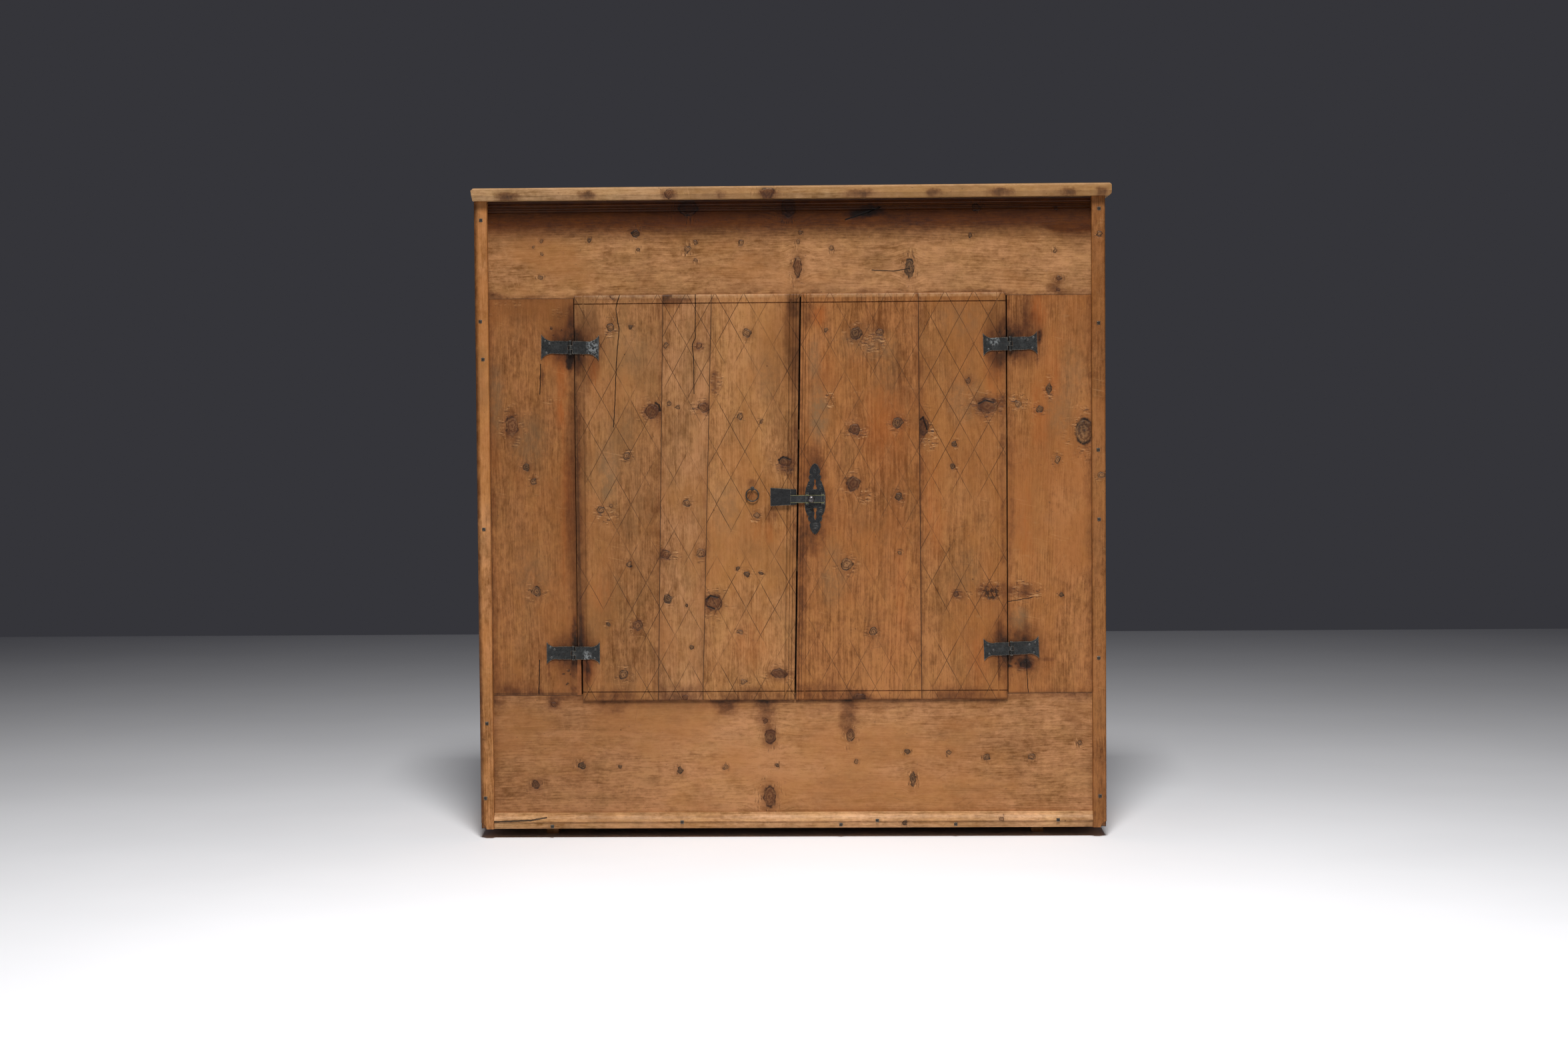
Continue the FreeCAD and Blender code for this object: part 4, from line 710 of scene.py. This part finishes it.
board("left_door_hinge_board", (141, 96, 57), 12.3, (-0.36, 0.03, 0.02), spacing=0.004, lattice=0.75,
    grey=0.45, dirt=0.22, seam=0.4,
    knots=[(915, 491, 6), (945, 490, 3), (917, 444, 4), (978, 617, 10), (940, 683, 5), (901, 764, 5),
      (917, 758, 2.5), (945, 846, 4), (958, 938, 7), (914, 936, 3), (937, 1012, 6.5)],
    stains=[(853, 519, 62, 48, 0.62), (880, 575, 12, 42, 0.3), (858, 979, 60, 40, 0.6),
      (872, 940, 8, 50, 0.3), (884, 1010, 7, 26, 0.45), (978, 617, 22, 24, 0.45), (868, 700, 6, 300, 0.2),
      (930, 440, 90, 14, 0.35), (958, 938, 16, 16, 0.35), (925, 1040, 60, 16, 0.3)],
    cracks=[(0.8, (928.7, 440), (922.5, 462), (927.5, 495), (923.7, 545), (922, 600), (920, 640)),
      (2.2, (983, 604), (988, 607), (990, 615))],
    torn=[(917, 447, 12, 7), (915, 497, 14, 10), (975, 617, 18, 16), (914, 775, 20, 16)],
    # Light stroke along the door's top edge: partly wear, partly a painted highlight
    rubs=[(4.5, (874, 445), (988, 444.5))],
    faded=[(912, 715, 24, 70, 0.8), (940, 520, 40, 60, 0.4), (930, 640, 40, 40, 0.35)],
    reddened=[(890, 560, 14, 50, 0.8), (900, 880, 30, 60, 0.3), (885, 1000, 20, 40, 0.6)],
    shades=[(872, 740, 12, 300, 0.4), (882, 520, 30, 70, 0.5), (880, 985, 24, 60, 0.4)])
board("left_door_middle_board", (149, 104, 66), 15.8, (-0.2, 0.02, 0.02), spacing=0.004, lattice=0.75,
    grey=0.4, dirt=0.2,
    knots=[(998, 518, 4), (1047, 519, 4), (1004, 604, 3), (1017, 610, 2.5), (1056, 611, 8, 7),
      (1031, 754, 5.5), (999, 831, 8, 6.5), (1053, 829, 6.5), (1003, 898, 6), (1031, 908, 2.5),
      (1039, 971, 3), (1030, 1046, 3.5)],
    stains=[(1010, 446, 40, 22, 0.5), (1047, 519, 14, 18, 0.4), (1056, 611, 18, 16, 0.4),
      (1025, 1040, 60, 22, 0.35), (999, 831, 16, 14, 0.35)],
    cracks=[(0.8, (1042.5, 440), (1042.5, 507), (1038, 517), (1040.5, 542), (1041, 590))],
    torn=[(1003, 449, 9, 8), (1045, 611, 14, 12), (1012, 833, 14, 9)],
    rubs=[(4.5, (1010, 444.5), (1064, 444))])
board("left_door_meeting_board", (152, 105, 63), 18.9, (-0.08, 0.02, 0.025), spacing=0.0044, lattice=0.8,
    grey=0.35, seam=0.45, dirt=0.2,
    knots=[(1120, 500, 6), (1110, 625, 4), (1142, 632, 2.5), (1178, 692, 10, 7), (1136, 773, 4),
      (1108, 852, 3), (1122, 860, 4), (1142, 859, 3), (1072, 904, 12, 12), (1112, 948, 4), (1117, 1022, 4),
      (1171, 1010, 12, 7)],
    stains=[(1129, 744, 16, 16, 0.35), (1129, 724, 12, 12, 0.45), (1178, 700, 22, 20, 0.4),
      (1190, 690, 14, 260, 0.15), (1072, 904, 22, 24, 0.45), (1171, 1010, 26, 18, 0.4),
      (1075, 575, 14, 34, 0.3), (1190, 460, 16, 30, 0.35), (1130, 1040, 90, 18, 0.3),
      (1160, 770, 30, 20, 0.3)],
    cracks=[(1.8, (1061, 898), (1067, 893), (1078, 896)), (1.6, (1063, 909), (1073, 913)),
      (1.6, (1168, 690), (1176, 685), (1186, 689))],
    torn=[(1075, 575, 12, 24), (1178, 702, 18, 16), (1068, 900, 16, 18), (1134, 778, 10, 8)],
    rubs=[(4.5, (1068, 444), (1180, 443.5))],
    reeds=[((x, 445), (x - 5.7, 1045), 0.7) for x in (1184.5, 1190, 1194.5)],
    faded=[(1090, 760, 30, 60, 0.5), (1150, 560, 30, 60, 0.4)],
    reddened=[(1129.5, 742, 9, 9, 0.5), (1130, 960, 50, 60, 0.35), (1150, 800, 40, 30, 0.4)],
    shades=[(1192, 500, 22, 110, 0.5), (1180, 560, 40, 160, 0.2)])
board("right_door_meeting_board", (144, 93, 51), 22.5, (0.13, 0.012, 0.035), spacing=0.0085, lattice=0.6,
    ring_share=0.5, grey=0.3, dirt=0.22,
    knots=[(1284, 500, 9), (1320, 499, 5), (1239, 496, 3), (1283, 644, 8), (1347, 634, 7.5), (1281, 725, 10),
      (1349, 745, 6), (1351, 829, 3), (1272, 846, 8.5), (1312, 947, 5.5), (1291, 1047, 9, 6)],
    stains=[(1222, 700, 26, 60, 0.45), (1222, 800, 24, 50, 0.55), (1240, 760, 20, 60, 0.3),
      (1206, 850, 12, 200, 0.3), (1283, 644, 18, 18, 0.35), (1281, 725, 18, 16, 0.4),
      (1240, 1035, 70, 20, 0.35), (1290, 1046, 30, 18, 0.45), (1300, 500, 50, 40, 0.18),
      (1215, 470, 16, 40, 0.35), (1355, 600, 20, 140, 0.14)],
    torn=[(1310, 515, 26, 18), (1245, 600, 10, 16), (1290, 650, 14, 12), (1300, 745, 18, 14)],
    rubs=[(4.5, (1212, 443.5), (1370, 443))],
    reeds=[((x, 445), (x - 5.7, 1045), 0.6) for x in (1205.5, 1209.5)],
    faded=[(1228, 620, 22, 60, 0.9), (1222, 540, 14, 50, 0.6), (1300, 515, 60, 34, 0.55),
      (1250, 860, 30, 70, 0.5), (1330, 560, 30, 70, 0.3)],
    reddened=[(1228, 474, 18, 26, 0.9), (1330, 640, 60, 100, 0.5), (1350, 900, 40, 160, 0.35),
      (1240, 560, 30, 60, 0.3)])
board("right_door_hinge_board", (144, 95, 53), 26.6, (0.34, 0.02, 0.03), spacing=0.0044, lattice=0.75,
    dirt=0.25, seam=0.4,
    knots=[(1453, 572, 4), (1386, 640, 7, 13), (1482, 609, 16, 11), (1432, 666, 4), (1430, 699, 4),
      (1436, 892, 4)],
    stains=[(1516, 514, 62, 48, 0.66), (1490, 556, 20, 40, 0.3), (1520, 973, 60, 38, 0.6),
      (1500, 945, 10, 34, 0.35), (1500, 1006, 4, 28, 0.4), (1482, 609, 40, 28, 0.35),
      (1455, 570, 20, 16, 0.25), (1386, 640, 16, 26, 0.3), (1485, 886, 34, 22, 0.45),
      (1440, 892, 18, 14, 0.35), (1440, 1038, 80, 18, 0.3), (1380, 760, 8, 280, 0.15),
      (1503, 720, 6, 300, 0.18)],
    cracks=[(1.7, (1469, 606), (1478, 601), (1491, 604)), (1.6, (1381, 630), (1385, 626), (1391, 644))],
    torn=[(1486, 886, 26, 20), (1482, 612, 26, 18), (1395, 655, 16, 26), (1448, 892, 14, 8)],
    holes=[(1488, 890, 14, 12)],
    rubs=[(4.5, (1380, 443), (1496, 442.5))],
    faded=[(1450, 600, 40, 50, 0.5), (1440, 480, 50, 40, 0.35), (1450, 860, 30, 60, 0.3)],
    reddened=[(1490, 560, 18, 60, 0.7), (1400, 760, 30, 120, 0.5), (1470, 980, 30, 60, 0.5)],
    shades=[(1495, 505, 26, 60, 0.4), (1498, 975, 24, 50, 0.35)])
board("base_moulding", (181, 136, 94), 30.1, (0.4, 0.05, 0.01), spacing=0.0038, grey=0.4, flat=True,
    cracks=[(1.8, (743, 1233), (799, 1231)), (1.4, (799, 1231), (822, 1227))],
    knots=[(1360, 1236, 4), (1505, 1230, 3)])
board("left_corner_strip", (168, 116, 72), 33.3, (-0.7, 0.05, 0.01), spacing=0.0036, grey=0.5,
    bands=[(9, (707, 305), (724, 1244))])
board("right_corner_strip", (132, 84, 44), 36.4, (0.7, 0.05, 0.01), spacing=0.0036,
    knots=[(1652, 713, 6, 4), (1648, 354, 4)])
board("left_stile_filler", (132, 82, 46), 39.9, (-0.5, 0.04, 0.01))
# Dark places along the front edge of the top: photo x and half length in metres
TOP_STAINS = ((760, 0.04), (880, 0.03), (1003, 0.03), (1080, 0.02), (1151, 0.03), (1290, 0.05), (1400, 0.03),
              (1500, 0.05), (1600, 0.03), (1650, 0.02))
top_seam = seam("top_rear_board", 1)
# The light stroke along the top's front edge is partly wear and partly a painted highlight
dress_boards("top_front_board", wood(
    "top_wood", "yxz", (161, 124, 86), 42.7, (-0.12, 0.02, 0.02), spacing=0.0044, unfold=cad_box[1][2],
    rubs=[(-0.2265, -0.66, -0.2265, 0.66, 0.005)], cracks=[top_seam], grey=0.5,
    stains=[(-0.24, spot(px, 290)[0], 0.012, wide, 0.5) for px, wide in TOP_STAINS],
    knots=[(-0.238, spot(1003, 290)[0], 0.008, 0.009), (-0.238, spot(1151, 290)[0], 0.009, 0.014),
           (-0.05, -0.35, 0.012, 0.009), (-0.12, 0.28, 0.01, 0.008), (-0.17, 0.05, 0.008, 0.007),
           (-0.08, 0.47, 0.011, 0.009)]))

# What the photograph doesn't show
dress_boards("top_rear_board", wood(
    "top_rear_wood", "yxz", (156, 112, 72), 45.2, (0.12, 0.02, 0.02), cracks=[top_seam], grey=0.5,
    knots=[(0.1, 0.3, 0.011, 0.009), (0.16, -0.25, 0.009, 0.008)]))
dress_boards("left_side_front_board left_side_rear_board right_side_front_board right_side_rear_board", wood(
    "side_wood", "yzx", (148, 98, 58), 48, (0.02, 0.02, 0.03), spacing=0.0046,
    cracks=[seam("left_side_rear_board", 1)],
    knots=[(-0.12, 1.05, 0.009, 0.012), (-0.03, 0.74, 0.011, 0.013), (-0.14, 0.42, 0.008, 0.01),
           (0.13, 0.93, 0.012, 0.014), (0.1, 0.55, 0.009, 0.01), (0.16, 0.22, 0.01, 0.012),
           (-0.06, 0.16, 0.007, 0.008)]))
dress_boards("bottom_front_board bottom_rear_board lower_shelf upper_shelf left_runner right_runner", wood(
    "inner_cross_wood", "yxz", (166, 120, 78), 51.5, (0, 0.02, 0.02), spacing=0.0046, roughness=0.6))
dress_boards("back_board_1 back_board_2 back_board_3 back_board_4", wood(
    "inner_upright_wood", "xzy", (156, 110, 68), 54.6, (0.1, 0.02, 0.02), spacing=0.0046, roughness=0.6,
    cracks=[seam(f"back_board_{number}", 0) for number in (2, 3, 4)],
    knots=[(-0.45, 0.9, 0.01, 0.012), (-0.2, 0.4, 0.012, 0.013), (0.12, 1, 0.009, 0.01),
           (0.4, 0.6, 0.011, 0.012), (0.5, 0.2, 0.008, 0.009)]))
dress_boards("left_door_upper_ledge left_door_lower_ledge right_door_upper_ledge right_door_lower_ledge", wood(
    "ledge_wood", "zxy", (154, 108, 66), 57.3, (0.5, 0.05, 0.02), spacing=0.0044, roughness=0.58))

# Hinge iron with painted highlights where its leaves catch the light
hinge_iron = iron(
    "hinge_iron_look", rust=0.2,
    painted_highlights=marks([(888, 520, 12, 24), (882, 985, 9, 14), (1492, 512, 10, 9), (1536, 500, 10, 12)]))
plate_iron = iron("plate_iron_look", base=(17, 17, 18), light=(60, 61, 62), rust=0.08)
bar_low, bar_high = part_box("bolt_bar")
bolt_iron = iron("bolt_iron_look", base=(30, 31, 32), light=(78, 80, 80), rust=0.06,
                 lines=[(bar_low.x, level, bar_high.x, level, 0.0011) for level in (bar_low.z, bar_high.z)])
nail_iron = iron("nail_iron_look", base=(34, 28, 24), light=(82, 72, 62), rust=0.5)
bright_nail_iron = iron("bright_nail_iron_look", base=(52, 52, 52), light=(104, 104, 101), rust=0.1, rub=0.5)
ring_iron = iron("ring_iron_look", base=(30, 27, 25), light=(92, 84, 76), rust=0.35, rub=0.3, scale=2,
                 metallic=0.2)
polished_iron = iron("polished_iron_look", base=(56, 53, 53), light=(128, 124, 124), rust=0.03, rub=0.8,
                     rough=0.3, metallic=0.8)
# By the ending of a node's name
IRON_LOOKS = {
    "leaf_nails": bright_nail_iron, "_leaf": hinge_iron, "_pin": hinge_iron, "_nails": nail_iron,
    "_guides": bolt_iron, "_bar": bolt_iron, "_plate": plate_iron, "_keeper": plate_iron,
    "ring_pull": plate_iron, "_knob": polished_iron, "ring_eye": polished_iron,
}
for name in nodes:
    look = next((look for ending, look in IRON_LOOKS.items() if name.endswith(ending)), None)
    if look:
        dress(name, look)
bevel(["bolt_guides", "bolt_bar", "bolt_keeper"], IRON_EDGE)
bevel([name for name in nodes if name.endswith(("_hinge_frame_leaf", "_hinge_door_leaf"))], IRON_EDGE)


def new_object(name, data):
    made = bpy.data.objects.new(name, data)
    bpy.context.scene.collection.objects.link(made)
    return made


# Fittings with more form than their nodes
def new_piece(name, build, body, node, material, smooth=True):
    """A mesh made by build(bm) that stands for a node, rides on its body and takes a material slot's finish."""
    bm = bmesh.new()
    build(bm)
    bmesh.ops.remove_doubles(bm, verts=bm.verts, dist=1e-6)
    bmesh.ops.recalc_face_normals(bm, faces=bm.faces)
    mesh = bpy.data.meshes.new(name)
    bm.to_mesh(mesh)
    bm.free()
    for face in mesh.polygons:
        face.use_smooth = smooth
    mesh.materials.append(material)
    piece = new_object(name, mesh)
    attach(piece, body)
    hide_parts(node)


def turns(count):
    return [math.tau * index / count for index in range(count)]


def skin(bm, rows):
    """Faces between rows of vertices that each run round."""
    for low, high in zip(rows, rows[1:]):
        for index in range(len(low)):
            after = (index + 1) % len(low)
            bm.faces.new((low[index], low[after], high[after], high[index]))


def lathe(bm, middle, profile, count=40):
    """Turned form about an axis along y through middle; profile gives radius and distance forwards in mm."""
    rows = []
    for radius, forward in profile:
        ring = [Vector((math.cos(turn) * radius, -forward, math.sin(turn) * radius)) for turn in turns(count)]
        rows.append([bm.verts.new(middle + point / 1000) for point in ring])
    skin(bm, rows)
    bm.faces.new(rows[0])
    bm.faces.new(rows[-1])


def torus(bm, middle, first, second, radius, wire, around=56, across=14, uneven=0):
    """Bent wire ring in the plane of two directions, its wire a little uneven."""
    aside = first.cross(second)
    rows = []
    for angle in turns(around):
        out = first * math.cos(angle) + second * math.sin(angle)
        thick = wire * (1 + uneven * math.sin(3 * angle + 0.7) + 0.6 * uneven * math.sin(7 * angle))
        rows.append([
            bm.verts.new(middle + out * (radius + thick * math.cos(turn)) + aside * (thick * math.sin(turn)))
            for turn in turns(across)])
    skin(bm, rows + rows[:1])


def lump(bm, x, y, z, half_wide, half_high, rise, turn=0, around=18, levels=5):
    """Low forged swelling on a plate whose face lies at y."""
    rows = []
    for level in range(levels):
        slope = math.pi / 2 * level / levels
        row = []
        for angle in turns(around):
            a = math.cos(angle) * half_wide * math.cos(slope)
            b = math.sin(angle) * half_high * math.cos(slope)
            row.append(bm.verts.new((x + a * math.cos(turn) - b * math.sin(turn), y - rise * math.sin(slope),
                                     z + a * math.sin(turn) + b * math.cos(turn))))
        rows.append(row)
    top = bm.verts.new((x, y - rise, z))
    skin(bm, rows)
    for index in range(around):
        bm.faces.new((rows[-1][index], rows[-1][(index + 1) % around], top))
    bm.faces.new(rows[0])


X, Y, Z = Vector((1, 0, 0)), Vector((0, 1, 0)), Vector((0, 0, 1))
ring_low, ring_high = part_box("ring_pull")
ring_middle = (ring_low + ring_high) / 2
ring_outer = (ring_high.x - ring_low.x) / 2
# Half thickness of the ring's wire
RING_WIRE = 0.0013
eye_middle = ring_middle + Vector((0, 0, ring_outer - 0.0011))
# Turned forms: radius and distance forwards in millimetres
KNOB_PROFILE = ((3.3, 0), (2.8, 2.4), (3, 4.6), (4.8, 5.3), (6.4, 6.3), (7.2, 8), (7.1, 9.6), (6.2, 11.6),
                (4.6, 13), (2.4, 13.8), (0.5, 14))
COLLAR_PROFILE = ((4.3, 0), (4.2, 0.5), (3.4, 1), (2.2, 1.3), (1.6, 2.2))
# Nail heads: radius and height in metres
HEAD_RADIUS, HEAD_RISE = 0.0027, 0.0013


def build_ring(bm):
    torus(bm, ring_middle, X, Z, ring_outer - RING_WIRE, RING_WIRE, uneven=0.06)


def build_eye(bm):
    torus(bm, eye_middle, Y, Z, 0.0027, 0.00105, 28, 12)
    lathe(bm, Vector((eye_middle.x, DOOR_FACE, eye_middle.z)), COLLAR_PROFILE, 28)


def build_knob(bm):
    low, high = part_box("bolt_knob")
    middle = Vector(((low.x + high.x) / 2, high.y, (low.z + high.z) / 2))
    lathe(bm, middle, KNOB_PROFILE)


new_piece("ring_pull_wire", build_ring, "ring", "ring_pull", ring_iron)
new_piece("ring_eye_forged", build_eye, "left_door", "ring_eye", ring_iron)
new_piece("bolt_knob_turned", build_knob, "bolt", "bolt_knob", polished_iron)


# Round nail heads on the hinge leaves
def nail_heads(name):
    """Middle across and up, and foremost point, of each nail of a node."""
    nails = []
    for vertex in nodes[name].data.vertices:
        near = next((nail for nail in nails if (nail[0].xz - vertex.co.xz).length < 0.009), None)
        if near is None:
            nails.append([vertex.co])
        else:
            near.append(vertex.co)
    heads = []
    for nail in nails:
        xs, ys, zs = zip(*nail)
        heads.append(((min(xs) + max(xs)) / 2, min(ys), (min(zs) + max(zs)) / 2))
    return heads


def add_nail_heads(name, body):
    def build(bm):
        for index, (x, y, z) in enumerate(nail_heads(name)):
            uneven = 0.0002 * math.sin(5 * index)
            lump(bm, x, y + HEAD_RISE, z, HEAD_RADIUS + uneven, HEAD_RADIUS - uneven, HEAD_RISE, 0.8 * index)
    new_piece(f"{name}_heads", build, body, name, bright_nail_iron)


add_nail_heads("hinge_frame_leaf_nails", "carcase")
add_nail_heads("left_hinge_door_leaf_nails", "left_door")
add_nail_heads("right_hinge_door_leaf_nails", "right_door")

# Pierced plate behind the bolt, from photo points of its outline and its four openings
PLATE_RIGHT = (
    (1224, 695.5), (1227.3, 697.2), (1229.4, 700.4), (1231.3, 704.2), (1232.2, 708.6), (1230.4, 712),
    (1232.6, 713.6), (1233.4, 717.2), (1231.3, 719.6), (1234, 723.4), (1235.6, 728), (1237.4, 732.6),
    (1238.6, 738), (1239.6, 744), (1239.8, 752), (1239.2, 761), (1238.2, 767), (1235.8, 772),
    (1233.6, 775), (1234.8, 778), (1233.4, 781.6), (1230.6, 783.6), (1232.4, 787), (1231.8, 791.6),
    (1229.6, 796.4), (1226.8, 800.4), (1224, 802.4),
)
PLATE_OPENINGS = (
    ((1224, 718.6), (1225.6, 721), (1225.2, 724), (1224.6, 726.4), (1226.2, 730.2), (1227, 734)),
    ((1224, 781), (1225.6, 777.6), (1225.8, 774), (1224.7, 770.6), (1226, 767), (1226.6, 763)),
)
# Forged swellings: place beside the middle line, photo y, half width and half height in pixels
PLATE_LUMPS = (
    (-8.6, 762.4, 3.6, 1.1), (-8.8, 765.6, 3.2, 1), (-8, 768.8, 3.4, 1.1), (8.6, 762.4, 3.4, 1.1),
    (8.6, 766, 3, 1), (8.2, 769, 3.4, 1.1), (0.4, 786.4, 4.4, 1.2), (0.2, 790, 4.8, 1.1),
    (0, 793.4, 4, 1), (-9.6, 731, 2.6, 2.2), (7.8, 729.6, 3, 2.4), (-0.4, 706.8, 2, 2.6),
    (-8.4, 724, 1.8, 1.8), (8.6, 734.6, 2.2, 1.6), (-5.2, 713.6, 1.4, 1.4), (5.4, 713.2, 1.5, 1.4),
)
# Photo x of the plate's middle line, and how much its edges are rounded
PLATE_AXIS = 1224
PLATE_EDGE = 0.00035


def make_plate():
    low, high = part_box("bolt_plate")
    middle_x, middle_y, middle_z = ((a + b) / 2 for a, b in zip(low, high))
    first, last = PLATE_RIGHT[0][1], PLATE_RIGHT[-1][1]
    rate = (high.z - low.z) / (last - first)

    def place(px, py):
        return middle_x + (px - PLATE_AXIS) * PIXEL, middle_z - (py - (first + last) / 2) * rate

    curve = bpy.data.curves.new("plate_outline", "CURVE")
    curve.dimensions = "2D"
    curve.fill_mode = "BOTH"
    curve.resolution_u = 4
    outlines = [PLATE_RIGHT + tuple((2 * PLATE_AXIS - x - 0.3, y + 0.3) for x, y in PLATE_RIGHT[-2:0:-1])]
    for opening in PLATE_OPENINGS:
        end = opening[-1][1]
        tip = (PLATE_AXIS, end + (0.6 if opening is PLATE_OPENINGS[0] else -0.6))
        outlines.append(opening + (tip,) + tuple((2 * PLATE_AXIS - x, y) for x, y in opening[:0:-1]))
    for outline in outlines:
        spline = curve.splines.new("POLY")
        spline.points.add(len(outline) - 1)
        for point, (px, py) in zip(spline.points, outline):
            point.co = (*place(px, py), 0, 1)
        spline.use_cyclic_u = True
    curve.bevel_depth = PLATE_EDGE
    curve.bevel_resolution = 1
    curve.offset = -PLATE_EDGE
    curve.extrude = (high.y - low.y) / 2 - curve.bevel_depth
    shape = new_object("plate_outline", curve)
    flat = bpy.data.meshes.new_from_object(shape.evaluated_get(bpy.context.evaluated_depsgraph_get()))
    bpy.data.objects.remove(shape)
    flat.transform(Matrix.Translation((0, middle_y, 0)) @ Matrix.Rotation(math.radians(90), 4, "X"))

    def build(bm):
        bm.from_mesh(flat)
        for across, py, wide, tall in PLATE_LUMPS:
            x, z = place(PLATE_AXIS + across, py)
            lump(bm, x, low.y + 0.0001, z, wide * PIXEL * 0.9, tall * rate, 0.0006)

    new_piece("bolt_plate_pierced", build, "right_door", "bolt_plate", plate_iron, smooth=False)
    bpy.data.meshes.remove(flat)


make_plate()


# Stage, light and camera
def make_floor():
    half_wide, near, far = 9, -9, 4.86
    mesh = bpy.data.meshes.new("floor")
    corners = [(-half_wide, near, 0), (half_wide, near, 0), (half_wide, far, 0), (-half_wide, far, 0)]
    mesh.from_pydata(corners, [], [(0, 1, 2, 3)])
    floor = new_object("floor", mesh)
    r = Surface("floor_paint")
    cloud = r.noise(r.place, 1.4, 3)
    colour = r.mix(r.slope(cloud, 0.3, 0.7), tint(244, 244, 246), tint(248, 248, 250))
    r.finish(colour, 0.6, Specular_IOR_Level=0.2)
    mesh.materials.append(r.material)


def area_light(name, place, target, size, power, spread=180):
    lamp = bpy.data.lights.new(name, "AREA")
    lamp.shape = "RECTANGLE"
    lamp.size, lamp.size_y = size
    lamp.energy = power
    lamp.spread = math.radians(spread)
    made = new_object(name, lamp)
    made.location = place
    way = Vector(target) - Vector(place)
    made.rotation_euler = way.to_track_quat("-Z", "Y").to_euler()


def make_camera(place, yaw, pitch, roll, focal_px):
    camera_data = bpy.data.cameras.new("camera")
    camera_data.sensor_width = 36
    camera_data.lens = focal_px * camera_data.sensor_width / PHOTO_WIDTH
    camera = new_object("camera", camera_data)
    turn = Matrix.Rotation(-math.radians(yaw), 4, "Z") @ Matrix.Rotation(math.radians(90 + pitch), 4, "X")
    turn = turn @ Matrix.Rotation(math.radians(roll), 4, "Z")
    camera.matrix_world = Matrix.Translation(Vector(place)) @ turn
    bpy.context.scene.camera = camera


make_floor()
area_light("key", (0.2, -4.2, 6.4), (0.15, -1.8, 0), (1.3, 2), 133, spread=78)
area_light("fill", (0.5, -5.5, 2), (0, 0, 0.6), (4, 2.5), 5)
world = bpy.data.worlds.new("studio")
bpy.context.scene.world = world
world.use_nodes = True
world.node_tree.nodes["Background"].inputs["Color"].default_value = tint(56, 56, 61)
world.node_tree.nodes["Background"].inputs["Strength"].default_value = 0.9
bpy.context.scene.view_settings.view_transform = "Standard"
make_camera((0.1369, -6, 0.9), -1.5304, -2.5228, -0.4284, 4285.1)
